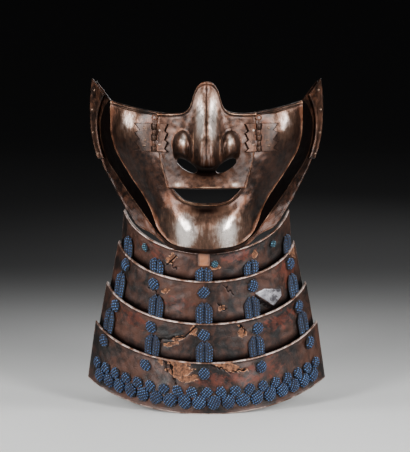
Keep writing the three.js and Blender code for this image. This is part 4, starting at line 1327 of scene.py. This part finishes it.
# The painted shade, the cracks and the flake's painted shadow also turn metallic, so they stay near black
# under the lamps.
lacquer_finish = lacquer.finish(
    base_color=coat,
    roughness=lacquer_rough,
    metallic=(0.3 + rim * 0.5 + silver * 0.3 + grime * 0.7 + crack * 0.7 - bare * 0.3).clip(),
    normal=lacquer.bump(lacquer_height, 0.5, 0.6),
    coat_weight=(0.08 - bare * 0.08 - grime * 0.08).clip(),
    specular_ior_level=0.22,
    coat_roughness=0.3,
)
print("lacquer nodes:", len(lacquer.tree.nodes))


# %% Lames
def make_lame(index):
    """A lame is a plate over its surface. Bare places and cracks sink in, and the silver flake stands up."""
    surface = on_lame(index)
    flaked_lame = index == FLAKED_LAME

    def relief(u, v, along_u, along_v):
        p = surface(u, v)
        border = lame_borders(index, u, v, along_u, along_v)
        wave = 0.16 * ripple(p, 22, 41 + index) + 0.07 * ripple(p, 7, 51 + index)
        sunk = 0.35 * patches(index, p, BARE_PATCHES, 0.22) + 0.5 * cracks(index, p)
        lifted = 0.5 * within(p, FLAKE) * flaked_lame
        bead = 0.35 * bell(border - 0.4, 0.45)
        return bead + (wave - sunk + lifted) * smooth(border, 1.5, 5)

    def marks(u, v, along_u, along_v):
        p = surface(u, v)
        border = lame_borders(index, u, v, along_u, along_v)
        # The shade mark above the next rim is painted shade: near black at the tucked lower edge, gone 12 mm
        # above it.
        from_low_edge = (1 - v) * np.linalg.norm(along_v, axis=-1)
        return {
            "rim": bell(border + 0.05, 0.4),
            "grime": (1 - smooth(from_low_edge, 6, 12)) * (index < LAST_LAME),
            "bare": patches(index, p, BARE_PATCHES, 0.22),
            "silver": within(p, FLAKE) * flaked_lame,
            "red": patches(index, p, RED_PATCHES, 0.3),
            "crack": np.maximum(cracks(index, p), within(p, FLAKE_SHADOW) * flaked_lame),
        }

    shares = np.sin(1.25 * np.linspace(-1, 1, 341)) / math.sin(1.25)
    return plate(surface, shares, np.linspace(0, 1, 71), -LAME_THICKNESS, 0, -1, relief, marks, 3)


for index in range(len(LAME_EDGES) - 1):
    number = index + 1
    name = f"lacquered_lame_{number}"
    piece(name, [make_lame(index)], lacquer_finish, "guard", [f"lame_{number}"])

# %% [markdown]
# ## Silk lacing
# Flat plaited silk cords hang the lames from each other. Two lie side by side in each column, come out
# from under a knot close together and swell apart. A cord is a flattened tube carried down the lame; its
# ribs and slanting stitches are cut into the tube, and the same pattern is stored as a mark for the colour,
# which also darkens the tube's sides with painted shade.


# %% Cloth finishes
def silk_finish(name, deep, middle, light):
    """Darker between the strands and down their sides as painted shade, the middle tone on them, and light on
    the crests, partly worn and partly painted highlight.
    """
    silk = Paint(name)
    crest = silk.mark("crest")
    fuzz = silk.noise(0.8, 4, 0.7)
    fade = silk.noise(14, 3, 0.5)
    tone = silk.blend(silk.step(crest + (fuzz - 0.5) * 0.6, 0.2, 0.7), deep, middle)
    rubbed_and_highlight = silk.step(crest * (0.6 + fade * 0.7) + (fuzz - 0.5) * 1.1, 0.6, 0.95)
    tone = silk.blend(rubbed_and_highlight * 0.85, tone, light)
    height = crest * 0.7 + fuzz * 0.6
    return silk.finish(
        base_color=tone,
        roughness=(0.72 + (fuzz - 0.5) * 0.3).clip(),
        normal=silk.bump(height, 0.25, 0.7),
        specular_ior_level=0.25,
        sheen_weight=0.1,
        sheen_roughness=0.4,
    )


indigo = silk_finish("indigo_silk", tint(1, 2, 5), tint(9, 21, 47), tint(66, 102, 148))
teal = silk_finish("teal_silk", tint(5, 14, 20), tint(16, 48, 62), tint(72, 116, 130))
print("silks:", indigo.name, "and", teal.name)

# %% Cord sizes and places
BRAID_WIDTH = 12.4
BRAID_HEIGHT = 2.6
RIBS = 9
STITCH_LENGTH = 2
# Each column: where its three braids lie along their lames, then its three knots, from above down
COLUMNS = {
    "outer_left": ([-0.9, -0.9, -0.91], [-0.88, -0.88, -0.9]),
    "inner_left": ([-0.57, -0.52, -0.5], [-0.57, -0.53, -0.53]),
    "centre": ([-0.03, -0.025, -0.02], [-0.03, -0.025, -0.02]),
    "inner_right": ([0.51, 0.47, 0.46], [0.5, 0.49, 0.475]),
    "outer_right": ([0.93, 0.9, 0.9], [0.91, 0.89, 0.905]),
}
RAISE = {"outer_left": 0.06, "outer_right": 0.02}
BRAID_SPANS = [(0.42, 0.775), (0.44, 0.845), (0.4, 0.82)]
KNOT_DEPTHS = [0.21, 0.23, 0.2]
KNOT_RADIUS = 4.2
KNOT_HEIGHT = 3.6
CROSS_RIB = 1.4


def lame_frame(index, share, down):
    """Place, outward normal, and the unit ways across and down with their mm per unit of share and down."""
    normal, across, along = tangents(on_lame(index), share, down, (-1.2, 1.2), (-0.5, 1.5))
    return lame_point(index, share, down), -normal, across, along


print(len(COLUMNS) * len(BRAID_SPANS), "braids and as many cross knots")


# %% Cords and knots
def cord(index, share, span, hand):
    """One plaited cord of a pair: rounded tube, squashed on the lame, close to its fellow at the top."""
    t, angle = np.meshgrid(np.linspace(0, 1, 84), whole_turn(44), indexing="ij")
    top = span[0] - 0.03
    low = span[1]
    down = top + (low - top) * t
    _, _, across, along = lame_frame(index, np.full(t.shape, share), down)
    per_share = np.linalg.norm(across, axis=-1)
    start = np.clip(t / 0.16, 0, 1)
    tip = np.sqrt(start * (2 - start))
    tail = np.sqrt(np.clip((1 - t) / 0.03, 0, 1))
    full = (0.55 + 0.45 * smooth(t, 0, 0.38)) * tip * tail
    half_width = BRAID_WIDTH / 4 * full * (1 - 0.06 * smooth(t, 0.6, 1))
    apart = BRAID_WIDTH / 4 * (0.5 + 0.5 * smooth(t, 0, 0.34)) * (1 - 0.08 * smooth(t, 0.6, 1))
    place, normal, across, _ = lame_frame(index, share + hand * apart / per_share, down)
    ribs = 0.5 + 0.5 * np.cos(angle * RIBS + 0.5)
    length = t * (low - top) * np.linalg.norm(along, axis=-1)
    slant = np.where(np.sin(angle * RIBS / 2) > 0, 1, -1) * angle * 4
    stitches = 0.5 + 0.5 * np.sin(2 * math.pi * length / STITCH_LENGTH + slant)
    # The last factor darkens the cord's sides and underside: painted shade.
    crest = (0.3 + 0.7 * ribs) * (0.2 + 0.8 * stitches) * (0.35 + 0.65 * smooth(np.sin(angle), 0.1, 0.6))
    height = BRAID_HEIGHT * (0.45 + 0.55 * smooth(t, 0, 0.3)) * tip * tail
    flat = np.where(np.sin(angle) < 0, 0.2, 1.0)
    relief = 1 + 0.1 * (crest - 0.6) * (np.sin(angle) > -0.2)
    side = unit(across) * (np.cos(angle) * half_width * relief)[..., None]
    rise = (0.28 + 0.72 * np.sin(angle) * flat * relief).clip(-0.1, 1.1) * height * 0.92
    lift = normal * (GAP + 0.25 + rise)[..., None]
    return sheet(place + side + lift, {"crest": crest})


def knot(index, share, down, radius, height, seed, hatch=1.75, dimple=0.0):
    """A ball of cord: a dome with cosine and sine profile; slanting strands are ridges cut across it."""
    place, normal, across, along = [a[0] for a in lame_frame(index, np.array([share]), np.array([down]))]
    up, angle = np.meshgrid(np.linspace(-0.12, 1, 25), whole_turn(60), indexing="ij")
    rise = np.sin(np.clip(up, 0, 1) * math.pi / 2)
    out = np.maximum(np.cos(np.maximum(up, 0) * math.pi / 2), 0) ** 0.75
    out[0] = 0
    dice = np.random.default_rng(seed)
    lean = 0.75 + dice.uniform(-0.35, 0.35)
    x = out * np.cos(angle) * radius
    y = out * np.sin(angle) * radius
    strand = (x * math.sin(lean) + y * math.cos(lean)) / hatch + dice.uniform(0, 1)
    crest = np.abs(np.cos(math.pi * strand))
    along_strand = x * math.cos(lean) - y * math.sin(lean)
    crest = crest * (0.7 + 0.3 * np.cos(2 * math.pi * along_strand / CROSS_RIB))
    grown = 1 + 0.13 * (crest - 0.5) + 0.05 * np.sin(2 * angle + dice.uniform(0, 6))
    hollow = dimple * bell(np.hypot(x, y), 0.32 * radius)
    points = place + unit(across) * (x * grown)[..., None] + unit(along) * (y * grown)[..., None]
    points = points + normal * (GAP + rise * height * (0.84 + 0.18 * crest) - hollow * height)[..., None]
    # The crest mark is darkened in the hollow and towards the knot's foot: painted shade.
    return sheet(points, {"crest": crest * (1 - 0.8 * (hollow > 0.1)) * smooth(rise, 0, 0.4)})


# %% Braids and cross knots in five columns
seed = 100
for column, (braid_shares, knot_shares) in COLUMNS.items():
    raised = RAISE.get(column, 0)
    for index, (top, low) in enumerate(BRAID_SPANS):
        seed += 1
        cords = [cord(index, braid_shares[index], (top - raised, low), hand) for hand in (-1, 1)]
        braid = f"{index + 1}_{column}"
        piece(f"cords_{braid}", cords, indigo, "guard", [f"braid_{braid}"])
        down = KNOT_DEPTHS[index] - raised
        ball = knot(index + 1, knot_shares[index], down, KNOT_RADIUS, KNOT_HEIGHT, seed)
        below = f"{index + 2}_{column}"
        piece(f"cross_knot_{below}", [ball], indigo, "guard", [f"knot_{below}"])

# %% [markdown]
# Three small knots of an older, greener silk hold the first lame, and two rows of knots line the hem. The
# upper row shows the hollow of each loop; the lower row lies over it and hides its lower half.

# %% Top knots and hem knots
TOP_KNOTS = [("knob_left", -0.72, 0.27), ("knob_centre", 0.095, 0.3), ("knob_right", 0.78, 0.27)]
TOP_KNOT_RADIUS = 2.6
TOP_KNOT_HEIGHT = 2.5
TOP_KNOT_HATCH = 1.2
for name, share, down in TOP_KNOTS:
    seed += 1
    ball = knot(0, share, down, TOP_KNOT_RADIUS, TOP_KNOT_HEIGHT, seed, TOP_KNOT_HATCH)
    piece(f"top_{name}", [ball], teal, "guard", [name])


def even_shares(index, down, count, reach):
    """Shares at even distances along the lame: lengths are summed on a fine line and read back."""
    fine = np.linspace(-reach, reach, 401)
    line = lame_point(index, fine, np.full(fine.shape, down))
    lengths = np.concatenate([[0], np.cumsum(np.linalg.norm(np.diff(line, axis=0), axis=1))])
    return np.interp(np.linspace(0, lengths[-1], count), lengths, fine)


def hem_down(share, from_hem):
    """How far down the last lame a place lies that is the given mm above the hem."""
    _, _, _, along = lame_frame(LAST_LAME, np.array([share]), np.array([0.7]))
    return 1 - from_hem / np.linalg.norm(along[0])


HEM_KNOTS = 19
HEM_REACH = 0.93
UPPER_FROM_HEM = 15
LOWER_FROM_HEM = 8
upper_shares = even_shares(LAST_LAME, hem_down(0.0, UPPER_FROM_HEM), HEM_KNOTS, HEM_REACH)
lower_shares = (upper_shares[1:] + upper_shares[:-1]) / 2
hem_rows = [(upper_shares, 4, 3.2, UPPER_FROM_HEM, 0.12), (lower_shares, 5, 4, LOWER_FROM_HEM, 0)]
hem_balls = []
for shares, radius, height, from_hem, dimple in hem_rows:
    for share in shares:
        seed += 1
        down = hem_down(share, from_hem)
        hem_balls.append(knot(LAST_LAME, share, down, radius, height, seed, dimple=dimple))
piece("hem_balls", hem_balls, indigo, "guard", ["hem_knots"])

# %% [markdown]
# ## The leather tab
# A strip of tanned leather ties the mask's chin to the first lame. It is a small plate that bends with
# the lame, with painted shade where it goes under the chin and darker long edges.

# %% Tan leather
tan = Paint("tan_leather")
grain = tan.cells(0.9, "DISTANCE_TO_EDGE")
stain = tan.noise(5, 5, 0.65)
tan_tone = tan.blend(tan.step(stain, 0.35, 0.65), tint(62, 33, 17), tint(112, 66, 36))
# Painted shade where the tab goes under the chin, and darker long edges.
tan_tone = tan.blend(tan.mark("fold"), tan_tone, tint(48, 27, 17))
tan_height = tan.step(grain, 0, 0.25) * 0.5 + stain * 0.5
tan_rough = (0.66 + (stain - 0.5) * 0.3).clip()
tan_finish = tan.finish(base_color=tan_tone, roughness=tan_rough, normal=tan.bump(tan_height, 0.2, 0.6))
print("tan leather nodes:", len(tan.tree.nodes))

# %% Tab
TAB_SHARE = -0.03
TAB_HALF_WIDTH = 3.6
TAB_FROM = -1.5
TAB_TO = 8.1
TAB_THICKNESS = 1.4
_, _, tab_across, tab_along = lame_frame(0, np.array([TAB_SHARE]), np.array([0.2]))
tab_half = TAB_HALF_WIDTH / np.linalg.norm(tab_across[0])
down_per_mm = 1 / np.linalg.norm(tab_along[0])


def tab_edge(u):
    """The distance in mm to the nearer long edge of the tab."""
    return (1 - np.abs(u - TAB_SHARE) / tab_half) * TAB_HALF_WIDTH


def tab_relief(u, v, along_u, along_v):
    return 0.25 * bell(tab_edge(u) - 0.5, 0.5) + 0.1 * ripple(lame_point(0, u, v), 3, 61)


def tab_marks(u, v, along_u, along_v):
    # The end under the chin gets painted shade; the long edges are a darker tone.
    tucked = 1 - smooth(v, TAB_FROM * down_per_mm, 3.2 * down_per_mm)
    return {"fold": 0.85 * np.maximum(tucked, bell(tab_edge(u), 0.7))}


tab_shares = np.linspace(TAB_SHARE - tab_half, TAB_SHARE + tab_half, 30)
tab_downs = np.linspace(TAB_FROM * down_per_mm, TAB_TO * down_per_mm, 40)
tab_face = GAP + TAB_THICKNESS
tab = plate(on_lame(0), tab_shares, tab_downs, GAP, tab_face, -1, tab_relief, tab_marks, 3)
piece("leather_tab", [tab], tan_finish, "guard", ["chin_tab"])
